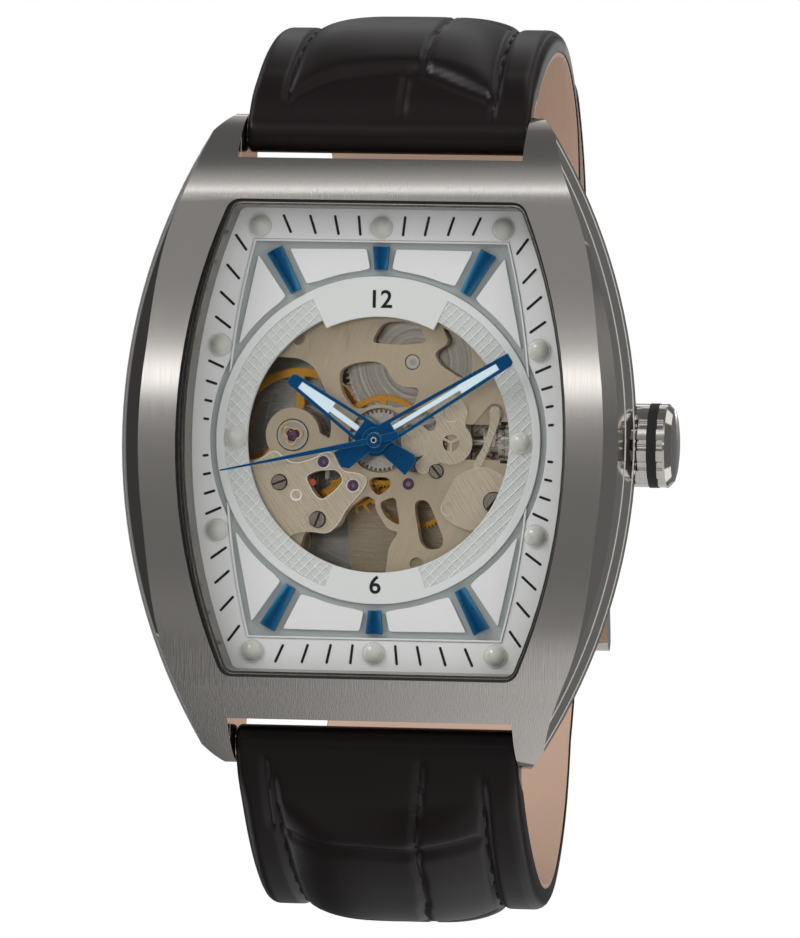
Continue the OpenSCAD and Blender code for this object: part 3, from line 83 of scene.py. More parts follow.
# %% [markdown]
# Product photographs are taken from far away with a long lens, which keeps the outline true. The camera
# stands 70 cm off, a little to the crown's side, so that the flank of the case shows, and it is rolled by
# one degree. Its axes are worked out as three vectors, which is easier to check than Euler angles.

# %% Place the camera
view_turn = math.radians(8.5)
view_roll = math.radians(1.1)
view_distance = 0.6988
aim_right = 1.701
aim_down = 2.199
forward = Vector((-math.sin(view_turn), math.cos(view_turn), 0))
level = Vector((math.cos(view_turn), math.sin(view_turn), 0))
upright = Vector((0, 0, 1))
right = level * math.cos(view_roll) + upright * math.sin(view_roll)
up = upright * math.cos(view_roll) - level * math.sin(view_roll)
aim = place(0, 0, 8.6) + (right * aim_right - up * aim_down) * mm
bpy.ops.object.camera_add(location=aim - forward * view_distance)
camera = bpy.context.object
camera.rotation_euler = Matrix((right, up, -forward)).transposed().to_euler()
camera.data.lens = 350
camera.data.sensor_width = 36
camera.data.clip_start = 0.01
bpy.context.scene.camera = camera
print("camera at", tuple(round(v, 3) for v in camera.location))

# %% [markdown]
# A finish is a network of shader nodes. Wiring one by hand takes many lines, so two small classes help.
# A Tap wraps one output, and writing sums with it adds the Math nodes that do them. A Bench holds the
# network of a material, or of the world, and adds any other node in one call.

# %% A bench for shader nodes
class Tap:
    """One value of a shader network. Python's arithmetic on it adds Math nodes."""

    def __init__(self, bench, socket):
        self.bench = bench
        self.socket = socket

    def work(self, operation, first, second):
        return self.bench.add("ShaderNodeMath", {"operation": operation}, {0: first, 1: second})

    def __add__(self, other):
        return self.work("ADD", self, other)

    def __sub__(self, other):
        return self.work("SUBTRACT", self, other)

    def __rsub__(self, other):
        return self.work("SUBTRACT", other, self)

    def __mul__(self, other):
        return self.work("MULTIPLY", self, other)

    def __gt__(self, other):
        return self.work("GREATER_THAN", self, other)

    __radd__ = __add__


class Bench:
    """The node network of one material or world."""

    def __init__(self, owner):
        owner.use_nodes = True
        self.owner = owner
        self.tree = owner.node_tree

    def add(self, kind, settings=None, values=None, output=0):
        node = self.tree.nodes.new(kind)
        for name, value in (settings or {}).items():
            if name == "stops":
                ramp_stops = node.color_ramp.elements
                while len(ramp_stops) < len(value):
                    ramp_stops.new(1)
                for stop, (position, colour) in zip(ramp_stops, value):
                    stop.position = position
                    stop.color = colour
            else:
                setattr(node, name, value)
        for name, value in (values or {}).items():
            self.feed(node.inputs[name], value)
        return Tap(self, node.outputs[output])

    def feed(self, socket, value):
        if isinstance(value, Tap):
            self.tree.links.new(value.socket, socket)
        else:
            socket.default_value = value

    def paint(self, **values):
        """Feeds sockets of the Principled shader. A space in a name is written as an underscore."""
        shader = self.tree.nodes["Principled BSDF"].inputs
        for name, value in values.items():
            self.feed(shader[name.replace("_", " ")], value)

    def surface(self, shader):
        self.feed(self.tree.nodes["Material Output"].inputs["Surface"], shader)

    def glow(self, strength):
        return self.add("ShaderNodeEmission", values={"Strength": strength})

    def blend(self, factor, first, second):
        return self.add("ShaderNodeMix", {"data_type": "RGBA"}, {0: factor, 6: first, 7: second}, 2)

    def smooth(self, value, low, high):
        settings = {"interpolation_type": "SMOOTHSTEP"}
        return self.add("ShaderNodeMapRange", settings, {"Value": value, "From Min": low, "From Max": high})

    def where(self):
        return self.add("ShaderNodeTexCoord", output="Object")

    def axes(self, vector):
        parts = self.add("ShaderNodeSeparateXYZ", values={0: vector})
        return [Tap(self, out) for out in parts.socket.node.outputs]

    def height(self):
        """How high a point lies over the case back, in metres."""
        return self.axes(self.where())[1] * -1

    def facing(self):
        """How far a face looks the dial's way: 1 straight, 0 sideways."""
        return self.axes(self.add("ShaderNodeNewGeometry", output="Normal"))[1] * -1

    def noise(self, vector, scale, detail=2.0):
        return self.add("ShaderNodeTexNoise", values={"Vector": vector, "Scale": scale, "Detail": detail})

    def stretch(self, vector, scale, turn=(0, 0, 0)):
        values = {"Vector": vector, "Scale": scale, "Rotation": turn}
        return self.add("ShaderNodeMapping", {"vector_type": "TEXTURE"}, values)

    def bump(self, height, distance, strength=1.0):
        values = {"Height": height, "Distance": distance, "Strength": strength}
        return self.add("ShaderNodeBump", values=values, output="Normal")


def tone(red, green, blue):
    """A colour as a screen shows it, 0 to 255, turned into the linear numbers that Blender uses."""
    linear = [c / 255 / 12.92 if c < 11 else ((c / 255 + 0.055) / 1.055) ** 2.4 for c in (red, green, blue)]
    return (*linear, 1)


def finish(name, **values):
    """A new material. The values go to the Principled shader's own sockets."""
    bench = Bench(bpy.data.materials.new(name))
    bench.paint(**values)
    return bench


print("a mid grey is", tuple(round(v, 3) for v in tone(128, 128, 128)))

# %% [markdown]
# The background of the photograph is plain white, and polished metal shows it too, so camera, glossy and
# transmission rays see a white world. The light that falls on matt surfaces is kept lower than that, and two
# large area lamps give it a direction: a key from the upper left and a weaker fill from the right.

# %% Light the set
world = Bench(bpy.context.scene.world or bpy.data.worlds.new("studio"))
bpy.context.scene.world = world.owner
light_path = world.add("ShaderNodeLightPath")
seen = sum(Tap(world, light_path.socket.node.outputs[ray])
           for ray in ("Is Camera Ray", "Is Glossy Ray", "Is Transmission Ray"))
sky_level = 0.62
background = world.tree.nodes["Background"].inputs
background["Color"].default_value = (1, 1, 1, 1)
world.feed(background["Strength"], (seen > 0.5) * (1 - sky_level) + sky_level)


def area_lamp(name, position, watts, size):
    bpy.ops.object.light_add(type="AREA", location=position)
    lamp = bpy.context.object
    lamp.name = name
    lamp.data.energy = watts
    lamp.data.shape = "RECTANGLE"
    lamp.data.size = size[0]
    lamp.data.size_y = size[1]
    lamp.rotation_euler = (-Vector(position)).to_track_quat("-Z", "Y").to_euler()
    return lamp


area_lamp("key", (-0.75, -0.65, 0.75), 7.4, (0.5, 0.4))
area_lamp("fill", (0.85, -0.65, 0.35), 2.8, (0.4, 0.6))

# %% [markdown]
# Bare steel has no colour of its own to speak of: it shows what stands around it. A photographer hangs grey
# cloth round the watch and leaves narrow bright gaps, and so the gently arched front of the case shows a
# bright band at one height and mid grey elsewhere. Here that tent is one tube around the watch whose glow is
# read from a table of angles, with two cards on each side, one beside the watch and one farther back. All of
# them are seen by reflections alone.

# %% A tent for the reflections
tent_reach = 1.3
tent_glow = [(-90, 0.3), (-60, 0.12), (-20, 0.1), (-15, 0.12), (-13, 0.21), (-11, 0.19), (-9, 0.155),
             (-4, 0.165), (-1, 0.19), (0.5, 0.23), (2.0, 0.31), (3.0, 0.42), (3.6, 1.0), (4.1, 1.75),
             (5.1, 1.75), (5.8, 0.95), (6.6, 0.5), (8.5, 0.34), (11, 0.27), (21, 0.27), (26, 0.38),
             (29.4, 0.6), (30.2, 1.45), (31.8, 1.45), (32.8, 1.1), (34.6, 0.8), (38, 0.56), (43, 0.42),
             (49, 0.33), (55, 0.24), (62, 0.14), (90, 0.11)]
tent_tilt = 1.2
tilt_shift = 0.19
low_left_glow = 0.06
low_right_more = 0.55
card_away = 1.25
card_half_height = 0.7
cards = {"card_left": (-125, -28, 0.05), "card_right": (24, 110, 0.13),
         "card_back_left": (-165, -126, 0.16), "card_back_right": (111, 165, 0.15)}


def light_up(piece, bench, strength):
    """Gives a piece of the set its glow and lets reflections alone see it."""
    bench.surface(bench.glow(strength))
    piece.data.materials.append(bench.owner)
    for ray in ("camera", "diffuse", "shadow", "transmission"):
        setattr(piece, "visible_" + ray, False)


def hang_tent():
    """A tube along X whose glow depends on the elevation, and low down also on the side."""
    bpy.ops.mesh.primitive_cylinder_add(vertices=96, radius=tent_reach, depth=1.5, end_fill_type="NOTHING",
                                        location=(0, 0, 0), rotation=(0, math.radians(90), 0))
    bpy.ops.object.transform_apply(rotation=True)
    tube = bpy.context.object
    tube.name = "tent"
    cloth = Bench(bpy.data.materials.new("tent"))
    across, _, height = cloth.axes(cloth.where())
    stops = [(0.5 + 0.5 * math.sin(math.radians(angle)), (glow, glow, glow, 1)) for angle, glow in tent_glow]
    tilt = cloth.smooth(height, 0.3 * tent_reach, 0.4 * tent_reach) * (across + tilt_shift) * tent_tilt
    share = (height - tilt) * (0.5 / tent_reach) + 0.5
    table = cloth.add("ShaderNodeValToRGB", {"stops": stops}, {0: share})
    low_glow = cloth.smooth(across, -0.27, -0.12) * low_right_more + low_left_glow
    low_down = cloth.smooth(height, -0.22 * tent_reach, -0.26 * tent_reach)
    light_up(tube, cloth, (low_glow - table) * low_down + table)


def card_upright(name, first, last, shade):
    """A card beside the watch between two compass angles, counted from the dial's own direction."""
    bpy.ops.mesh.primitive_plane_add(size=1)
    sheet = bpy.context.object
    sheet.name = name
    for vertex, (angle, side) in zip(sheet.data.vertices, ((first, -1), (last, -1), (first, 1), (last, 1))):
        turn = math.radians(angle)
        vertex.co = (card_away * math.sin(turn), -card_away * math.cos(turn), card_half_height * side)
    light_up(sheet, Bench(bpy.data.materials.new(name)), shade)


hang_tent()
for name, (first, last, shade) in cards.items():
    card_upright(name, first, last, shade)
print("a tent with", len(tent_glow), "steps of light, and", len(cards), "cards")

# %% [markdown]
# The floor is plain and pale. It lies far enough below the watch to stay out of the picture, and it still
# catches a shadow.

# %% Lay the floor
floor_drop = 0.12
bpy.ops.mesh.primitive_plane_add(size=2.6, location=(0, 0, cad_box[0].z - floor_drop))
floor = bpy.context.object
floor.name = "floor"
plaster = finish("floor_plaster", Base_Color=(0.8, 0.8, 0.8, 1), Roughness=0.7)
seen_glow = plaster.add("ShaderNodeLightPath") * 0.8
plain = Tap(plaster, plaster.tree.nodes["Principled BSDF"].outputs[0])
plaster.surface(plaster.add("ShaderNodeMixShader", values={0: seen_glow, 1: plain, 2: plaster.glow(1)}))
floor.data.materials.append(plaster.owner)
floor.visible_glossy = False
print("floor at", round(floor.location.z, 3))

# %% [markdown]
# Most rigid pieces come out of the CAD model as they are. Those with curved faces are shown through a copy
# whose loose triangles are merged, so that light runs over them smoothly, while sharp edges stay sharp.

# %% Helpers for finished pieces
def take_up(piece):
    """Makes a piece the active one and the only one selected."""
    bpy.ops.object.select_all(action="DESELECT")
    piece.select_set(True)
    bpy.context.view_layer.objects.active = piece


@contextmanager
def edit_mode():
    """Edit mode with the whole mesh selected, then object mode again."""
    bpy.ops.object.mode_set(mode="EDIT")
    bpy.ops.mesh.select_all(action="SELECT")
    yield
    bpy.ops.object.mode_set(mode="OBJECT")


def smooth_by_angle(angle):
    bpy.ops.object.shade_smooth_by_angle(angle=math.radians(angle))


def modify(piece, kind, **settings):
    modifier = piece.modifiers.new(kind.lower(), kind)
    for name, value in settings.items():
        setattr(modifier, name, value)


def apply_modifiers(piece):
    take_up(piece)
    for modifier in list(piece.modifiers):
        bpy.ops.object.modifier_apply(modifier=modifier.name)


def dress(bench, *nodes):
    """Gives CAD nodes their finish and leaves their meshes alone."""
    for node in nodes:
        shell = frame["nodes"][node]
        if not shell.material_slots:
            shell.data.materials.append(bench.owner)
        for slot in shell.material_slots:
            slot.material = bench.owner


def smooth_copy(node, bench, angle=28, edge=0):
    """A merged, smoothly shaded copy that stands for a CAD node. edge gives sharp edges a narrow bevel."""
    mesh = frame["nodes"][node].data.copy()
    piece = bpy.data.objects.new(node + "_shell", mesh)
    bpy.context.collection.objects.link(piece)
    take_up(piece)
    if mesh.has_custom_normals:
        bpy.ops.mesh.customdata_custom_splitnormals_clear()
    with edit_mode():
        bpy.ops.mesh.remove_doubles(threshold=1e-6)
        if edge:
            bpy.ops.mesh.dissolve_limited(angle_limit=math.radians(0.5))
    if edge:
        modify(piece, "BEVEL", width=edge * mm, segments=1, angle_limit=math.radians(40))
        apply_modifiers(piece)
    smooth_by_angle(angle)
    piece.data.materials.clear()
    piece.data.materials.append(bench.owner)
    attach(piece, node_body[node])
    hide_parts(node)
    return piece


record = frame["record"]
node_body = {node: body for body, nodes in record["behaviour"]["bodies"].items() for node in nodes}

# %% [markdown]
# The front of the case is brushed from 12 to 6 o'clock, and its flanks are polished. Brushing is thousands
# of fine scratches that run one way: a noise, stretched far along the grain, lifts the surface by some
# microns and varies its roughness. How far a face turns away from the dial tells the two finishes apart.

# %% Steel finishes
painted_highlight = tone(252, 248, 238)


def edge_mask(bench):
    """1 on the narrow bevels of a flat piece, which face halfway between its front and its sides, else 0.
    Those bevels get a painted highlight.
    """
    facing = bench.facing()
    return bench.smooth(facing, 0.98, 0.9) * bench.smooth(facing, 0.3, 0.45)


def distance_from(bench, middle):
    """How far a point lies from an axis that stands upright on the dial at middle, an (x, y)."""
    x, _, y = bench.axes(bench.where())
    off_x = x - middle[0] * mm
    off_y = y - middle[1] * mm
    return bench.add("ShaderNodeMath", {"operation": "SQRT"}, {0: off_x * off_x + off_y * off_y})


def darker(colour, share):
    return tuple(c * share for c in colour[:3]) + (1,)


def brushed_metal(name, colour, rough, grain, along=None, turn=0, polish=None, metal=1.0, edges=0.0,
                  turned_about=None):
    """Metal with a grain. along gives the length of a scratch on each axis, in millimetres, and turn slants
    it. Metal from a lathe has rings instead, about the axis turned_about, an (x, y). edges is how strong a
    painted highlight the bevels get."""
    bench = finish(name, Metallic=metal)
    spot = bench.where()
    if turned_about:
        rings = bench.add("ShaderNodeCombineXYZ", values={"X": distance_from(bench, turned_about)})
        bench.scratches = bench.noise(rings, 4200)
    else:
        lengths = tuple(v * mm for v in along)
        bench.scratches = bench.noise(bench.stretch(spot, lengths, (0, math.radians(turn), 0)), 1, 3)
    blotches = bench.noise(spot, 260)
    dark = darker(colour, 0.5 if turned_about else 0.86)
    shade = bench.blend(bench.smooth(bench.scratches, 0.3, 0.7), dark, colour)
    if edges:
        # Painted highlight: the bevels are lightened toward near white and lose most of their metal, so they
        # look bright under any light.
        highlit_bevels = edge_mask(bench)
        shade = bench.blend(highlit_bevels * edges, shade, painted_highlight)
        bench.paint(Metallic=metal - highlit_bevels * (metal * 0.9))
    roughness = (bench.scratches - 0.5) * 0.08 + (blotches - 0.5) * 0.04 + rough
    if polish:
        roughness = (roughness - polish) * bench.smooth(bench.facing(), 0.80, 0.93) + polish
    bench.paint(Base_Color=shade, Roughness=roughness, Normal=bench.bump(bench.scratches, grain * mm, 0.35))
    return bench


case_grain = 0.006
case_steel = brushed_metal("case_steel", tone(226, 221, 216), 0.1, case_grain, (0.05, 0.2, 5), polish=0.08)
small_steel = brushed_metal("small_steel", tone(216, 212, 207), 0.2, 0.01, (0.04, 0.04, 1.5))
rehaut_steel = brushed_metal("rehaut_steel", tone(120, 114, 104), 0.2, 0.01, (0.6, 0.04, 0.6))
rotor_steel = brushed_metal("rotor_steel", tone(190, 187, 180), 0.26, 0.02, (1.5, 0.2, 0.03))
fitting_steel = brushed_metal("fitting_steel", tone(226, 221, 216), 0.1, 0.004, (0.05, 0.2, 5), polish=0.08)
print("steels made:", len([metal for metal in bpy.data.materials if metal.name.endswith("_steel")]))

# %% [markdown]
# Two thin lines run along each flank of the case, and the long edges between flank and front are broken by a
# narrow bevel. The lines are bumps drawn by the height of a point, and their brightness is a painted
# highlight: a near-white colour with little metal. The bevel is cut into the mesh, with a weight on each
# edge that fades out toward the lugs.

# %% Lines and edges of the case
line_heights = (8.95, 10.6)
line_half_width = 0.2
line_relief = 12


def draw_side_lines(bench):
    """Raised lines along the flanks, at line_heights, with a painted highlight on them."""
    height = bench.height()
    lines = 0
    for middle in line_heights:
        below = bench.smooth(height, (middle - line_half_width) * mm, middle * mm)
        above = bench.smooth(height, (middle + line_half_width) * mm, middle * mm)
        lines = below * above + lines
    lines = lines * bench.smooth(bench.facing(), 0.5, 0.35)
    # Painted highlight: the lines are painted near white and made less metallic.
    bench.paint(Normal=bench.bump(lines * line_relief + bench.scratches, case_grain * mm, 0.35),
                Base_Color=bench.blend(lines * 0.8, tone(222, 217, 212), painted_highlight),
                Metallic=lines * -0.7 + 1)


bevel_width = 0.85
bevel_full_to = 6
bevel_ends_at = 18
case_crease = 18


def ramp(value, low, high):
    """0 below low, 1 above high, and a soft rise between them."""
    share = max(0.0, min(1.0, (value - low) / (high - low)))
    return share * share * (3 - 2 * share)


def face_kind(face):
    """Tells the case's front and its outer flanks from every other face."""
    turned = math.degrees(math.atan2(abs(face.normal.x), -face.normal.y))
    if turned < 8 and face.normal.y < -0.9:
        return "front"
    return "flank" if 55 < turned < 95 and face.normal.x * face.center.x > 0 else "other"


def break_long_edges(shell):
    """Bevels the edges where front and flank meet, less and less toward the lugs."""
    meets = {}
    for face in shell.data.polygons:
        for key in face.edge_keys:
            meets.setdefault(key, set()).add(face_kind(face))
    weights = shell.data.attributes.new("bevel_weight_edge", "FLOAT", "EDGE")
    long_edges = [edge for edge in shell.data.edges if meets[edge.key] == {"front", "flank"}]
    for edge in long_edges:
        from_middle = max(abs(shell.data.vertices[v].co.z) for v in edge.vertices) / mm
        weights.data[edge.index].value = 1 - ramp(from_middle, bevel_full_to, bevel_ends_at)
    modify(shell, "BEVEL", width=bevel_width * mm, segments=1, limit_method="WEIGHT",
           use_clamp_overlap=False)
    apply_modifiers(shell)
    smooth_by_angle(case_crease)
    return len(long_edges)


draw_side_lines(case_steel)
print("case edges broken:", break_long_edges(smooth_copy("case_middle", case_steel, angle=case_crease)))
smooth_copy("crown", fitting_steel, angle=case_crease)
for node in ("case_back", "buckle_frame", "buckle_tongue"):
    smooth_copy(node, fitting_steel)
dress(small_steel, "case_back_screws", "crown_tube", "winding_stem", "spring_bars", "buckle_bar")
dress(rehaut_steel, "rehaut")
dress(rotor_steel, "rotor")
print("steel on the case and its fittings")

# %% [markdown]
# Clear glass is mostly what lies behind it. A physically exact crystal would darken the dial in a fast
# render, so it is a thin, nearly transparent gloss: it keeps the highlights and lets the light through.

# %% Crystal and rubber
crystal = finish("crystal", Base_Color=(0.01, 0.01, 0.012, 1), Roughness=0.03, IOR=1.5)
rim = crystal.add("ShaderNodeLayerWeight", values={"Blend": 0.25}, output="Facing")
crystal.paint(Alpha=rim * 0.3 + 0.02)
for node in ("crystal", "back_window"):
    smooth_copy(node, crystal)

rubber = finish("rubber", Base_Color=tone(28, 27, 27), Roughness=0.55)
rubber.paint(Normal=rubber.bump(rubber.noise(rubber.where(), 9000), 0.01 * mm, 0.3))
dress(rubber, "crystal_gasket", "crown_ring")
print("crystal and rubber")

# %% [markdown]
# The dial is silvered brass. A silvered surface is nearly white with a faint grain and a soft sheen, and the
# field between the hour markers lies lower and is greyer. The height of a point tells field from surface.

# %% Dial finishes
def silvered(name, colour, low_colour=None, edge=8.47):
    """Silvered brass, which has its low colour below the height edge, in millimetres."""
    bench = finish(name, Metallic=0.15)
    grain = bench.noise(bench.stretch(bench.where(), (0.04 * mm, 1, 1.2 * mm)), 1, 3)
    shade = bench.blend(grain, darker(colour, 0.93), colour)
    if low_colour:
        raised = bench.smooth(bench.height(), (edge - 0.04) * mm, (edge + 0.04) * mm)
        shade = bench.blend(raised, low_colour, shade)
    bench.paint(Base_Color=shade, Roughness=grain * 0.12 + 0.34, Normal=bench.bump(grain, 0.006 * mm, 0.3))
    return bench


dial_silver = silvered("dial_silver", tone(240, 241, 240), tone(170, 176, 176))
ring_silver = silvered("ring_silver", tone(232, 234, 232))
smooth_copy("dial_plate", dial_silver, edge=0.04)
dress(dial_silver, "movement_holder")
for node in ("dial_ring", "dial_frame"):
    smooth_copy(node, ring_silver, edge=0.05)
print("silver on the dial")

# %% [markdown]
# Hands and markers are lacquered blue over polished metal, so they are half metal and half gloss paint, and
# their narrow bevels are painted a lighter teal, a painted highlight. The inlays of the hands are filled
# with a pale, matt paste. The twelve pips are glossy domes, painted paler toward the rim, a painted sheen,
# and dark at the very edge, painted shade.

# %% Blue lacquer and pale paste
lacquer = finish("blue_lacquer", Metallic=0.5, Coat_Roughness=0.06, Specular_IOR_Level=0.2)
shimmer = lacquer.noise(lacquer.where(), 4000)
blue = lacquer.blend(shimmer, tone(0, 66, 112), tone(0, 80, 134))
# Painted highlight: the bevels are painted a lighter teal.
lacquer.paint(Base_Color=lacquer.blend(edge_mask(lacquer) * 0.7, blue, tone(70, 150, 186)),
              Roughness=shimmer * 0.1 + 0.24, Coat_Weight=shimmer * 0.1 + 0.05)
for node in ("hour_hand", "minute_hand", "second_hand", "hour_markers"):
    smooth_copy(node, lacquer, edge=0.04)


def mottled(name, scale, dark, light, detail=2.0, relief=None, rough=None, **values):
    """A finish that drifts between two tones. relief gives a bump's depth in millimetres and its strength,
    rough the least roughness and what the light spots add to it."""
    bench = finish(name, **values)
    cloud = bench.noise(bench.where(), scale, detail)
    bench.paint(Base_Color=bench.blend(cloud, dark, light))
    if relief:
        bench.paint(Normal=bench.bump(cloud, relief[0] * mm, relief[1]))
    if rough:
        bench.paint(Roughness=cloud * rough[1] + rough[0])
    return bench


hand_paste = mottled("hand_paste", 12000, tone(208, 234, 246), tone(226, 243, 250), 3, (0.01, 0.3),
                     Roughness=0.6)
dress(hand_paste, "hour_hand_lume", "minute_hand_lume")

pip_glass = finish("pip_glass", Coat_Roughness=0.03)
# Painted light, by how far a face turns from the camera: paler toward the rim, a painted sheen, and dark at
# the very edge, painted shade of the gap round each pip.
pip_rim = pip_glass.add("ShaderNodeLayerWeight", values={"Blend": 0.5}, output="Facing")
pip_cloud = pip_glass.noise(pip_glass.where(), 3000)
pip_painted_sheen = pip_glass.blend(pip_glass.smooth(pip_rim, 0.1, 0.6), tone(202, 203, 194), tone(224, 225, 219))
pip_painted_light = pip_glass.blend(pip_glass.smooth(pip_rim, 0.72, 0.85), pip_painted_sheen, tone(140, 141, 133))
pip_glass.paint(Base_Color=pip_painted_light, Roughness=pip_cloud * 0.1 + 0.2, Coat_Weight=pip_cloud * 0.2 + 0.6)
smooth_copy("lume_pips", pip_glass)
print("blue lacquer on four nodes")

# %% [markdown]
# The movement is where a skeleton watch earns its name. Its plates are nickel silver with a slanting grain,
# the train is gilt brass, the barrel and its wheels are turned in fine rings, and the levers and screws are
# polished steel.

# %% Movement finishes
# Where edges is given, the bevels of the piece get a painted highlight.
plate_nickel = brushed_metal("plate_nickel", tone(213, 196, 169), 0.3, 0.015, (0.05, 0.3, 3), 20,
                             metal=0.65, edges=1)
bridge_nickel = brushed_metal("bridge_nickel", tone(208, 191, 164), 0.26, 0.03, (3, 0.3, 0.05), metal=0.7)
cover_nickel = brushed_metal("cover_nickel", tone(226, 211, 186), 0.28, 0.012, (0.04, 0.3, 3), -35,
                             metal=0.65, edges=1)
gilt = brushed_metal("gilt_brass", tone(240, 176, 66), 0.22, 0.01, (0.1, 0.1, 0.1), metal=0.8, edges=0.4)
barrel_steel = brushed_metal("barrel_steel", tone(222, 215, 202), 0.2, 0.012, metal=0.8,
                             turned_about=(2.36, 6.05))
screw_steel = brushed_metal("screw_steel", tone(168, 160, 148), 0.2, 0.01, (0.05, 0.3, 1), metal=0.8)
blade_steel = brushed_metal("blade_steel", tone(226, 221, 212), 0.14, 0.004, (0.05, 0.3, 2), metal=0.85,
                            edges=0.8)

movement_finish = {
    plate_nickel: ("main_plate",),
    bridge_nickel: ("barrel_bridge", "train_bridge", "balance_cock", "pallet_bridge"),
    cover_nickel: ("train_cover", "keyless_cover", "setting_spring_plate"),
    gilt: ("centre_wheel", "third_wheel", "fourth_wheel", "escape_wheel", "balance_wheel"),
    barrel_steel: ("barrel", "ratchet_wheel", "crown_wheel"),
    blade_steel: ("setting_lever", "yoke", "hairspring", "pallet_fork", "cannon_pinion", "minute_wheel",
                  "hour_wheel", "winding_pinion", "sliding_clutch"),
    screw_steel: ("movement_screws",),
}
edged = ("main_plate", "train_cover", "keyless_cover", "setting_spring_plate", "setting_lever", "yoke")
for bench, nodes in movement_finish.items():
    for node in nodes:
        if node in edged:
            smooth_copy(node, bench, edge=0.1)
        else:
            dress(bench, node)
print(sum(len(nodes) for nodes in movement_finish.values()), "nodes of the movement")

# %% [markdown]
# The bearing jewels are synthetic rubies. The CAD model holds them in one node together with the steel
# setting of the balance's bearing, so the distance from the balance's axis tells setting from stone. The
# outer band of the setting is painted dark: painted shade of the groove round it.

# %% Rubies
balance_at = (-6.84, 0.30)
ruby = finish("ruby", Coat_Roughness=0.03)
off_axis = distance_from(ruby, balance_at)
setting = ruby.smooth(off_axis, 0.5 * mm, 0.54 * mm) * ruby.smooth(off_axis, 1.6 * mm, 1.5 * mm)
# Painted shade: beyond this line the setting is dark, for the shade in the groove round it.
groove_shade = ruby.smooth(off_axis, 1.14 * mm, 1.18 * mm)
depth = ruby.noise(ruby.where(), 3000)
stone = ruby.blend(depth, tone(62, 36, 58), tone(98, 64, 96))
setting_and_shade = ruby.blend(groove_shade, tone(206, 196, 176), tone(70, 62, 52))
ruby.paint(Base_Color=ruby.blend(setting, stone, setting_and_shade), Metallic=setting * 0.7,
           Roughness=setting * 0.16 + 0.08, Coat_Weight=setting * -0.6 + 0.6)
dress(ruby, "movement_jewels")
print("rubies set")

# %% [markdown]
# Each jewel has a polished dish round its pivot, shown as a pale violet flattened ball: a painted highlight.
# Each screw sits in a recess and has a slot, and their shade is painted: a thin dark ring round each screw
# and each jewel, and a short dark bar on each screw. These are small turned shapes: flattened balls, thin
# rings and short bars. A flattened ball is also the one amber jewel, at the edge of the train cover's
# opening.

# %% Painted highlights on the jewels, painted shade in screw recesses and slots
def join(pieces):
    bpy.ops.object.select_all(action="DESELECT")
    for piece in pieces:
        piece.select_set(True)
    bpy.context.view_layer.objects.active = pieces[0]
    bpy.ops.object.join()
    return pieces[0]


def hand_over(piece, name, body, bench):
    """Applies a new piece's transform, names it and lets it ride on its body."""
    take_up(piece)
    bpy.ops.object.transform_apply(location=True, rotation=True, scale=True)
    piece.name = name
    piece.data.materials.clear()
    piece.data.materials.append(bench.owner)
    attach(piece, body)
    return piece


def flat_ball(x, y, height, radius, flatness=0.2, segments=24):
    bpy.ops.mesh.primitive_uv_sphere_add(segments=segments, ring_count=segments // 2, radius=radius * mm)
    ball = bpy.context.object
    ball.data.transform(Matrix.Translation(place(x, y, height)) @ Matrix.Diagonal((1, flatness, 1, 1)))
    bpy.ops.object.shade_smooth()
    return ball


def thin_ring(x, y, height, radius, thickness, segments=40, lobe=0.0):
    """A thin torus that lies on the dial. lobe bends it in and out three times round."""
    bpy.ops.mesh.primitive_torus_add(major_segments=segments, minor_segments=8, major_radius=radius * mm,
                                     minor_radius=thickness * mm)
    ring = bpy.context.object
    if lobe:
        for vertex in ring.data.vertices:
            angle = math.atan2(vertex.co.y, vertex.co.x)
            away = math.hypot(vertex.co.x, vertex.co.y)
            vertex.co.xy *= (away + lobe * mm * math.cos(3 * angle - 0.9)) / away
    ring.data.transform(Matrix.Translation(place(x, y, height)) @ dial_axes.to_4x4())
    bpy.ops.object.shade_smooth()
    return ring


def flat_bar(x, y, height, size, angle):
    """A bar that lies on the dial. Its size is its length, thickness and width."""
    bpy.ops.mesh.primitive_cube_add(size=1, location=place(x, y, height))
    bar = bpy.context.object
    bar.scale = [v * mm for v in size]
    bar.rotation_euler = (0, -math.radians(angle), 0)
    bpy.ops.object.transform_apply(location=False, rotation=False, scale=True)
    return bar


def slot_bar(x, y, height, length, width, angle):
    bar = flat_bar(x, y, height, (length, 0.04, width), angle)
    with edit_mode():
        bpy.ops.mesh.bevel(offset=0.01 * mm, segments=1)
    return bar


plate_top = 7.2
jewel_places = ((-4.38, -1.72, plate_top + 0.15), (-2.03, -3.50, plate_top + 0.15),
                (2.22, -3.30, plate_top - 0.02))
screw_places = ((-7.75, -3.35, 0.35, 0.55, 20), (-4.72, -6.16, 0.35, 0.57, 70),
                (4.38, -2.29, 0, 0.5, 130), (8.9, -4.6, 0.25, 0.75, 50))
dish_highlight = mottled("dish_highlight", 5000, tone(112, 92, 116), tone(150, 132, 152), rough=(0.1, 0.1))
amber = mottled("amber_jewel", 5000, tone(150, 58, 38), tone(196, 92, 62), rough=(0.1, 0.1))
shadow_metal = mottled("shadow_metal", 5000, tone(34, 28, 22), tone(58, 48, 38), rough=(0.4, 0.2),
                       Metallic=0.5)
# Painted highlight: pale violet flattened balls on the jewels.
dishes = join([flat_ball(x, y, height, 0.2) for x, y, height in jewel_places])
hand_over(dishes, "jewel_dish_highlights", "watch", dish_highlight)
hand_over(flat_ball(-5.26, -3.31, plate_top, 0.3), "amber_jewel", "watch", amber)
recess_shade_width = 0.055
slot_above_seat = 0.23
slot_length = 1.9
slot_width = 0.27
jewel_radius = 0.45
jewel_shade_width = 0.03
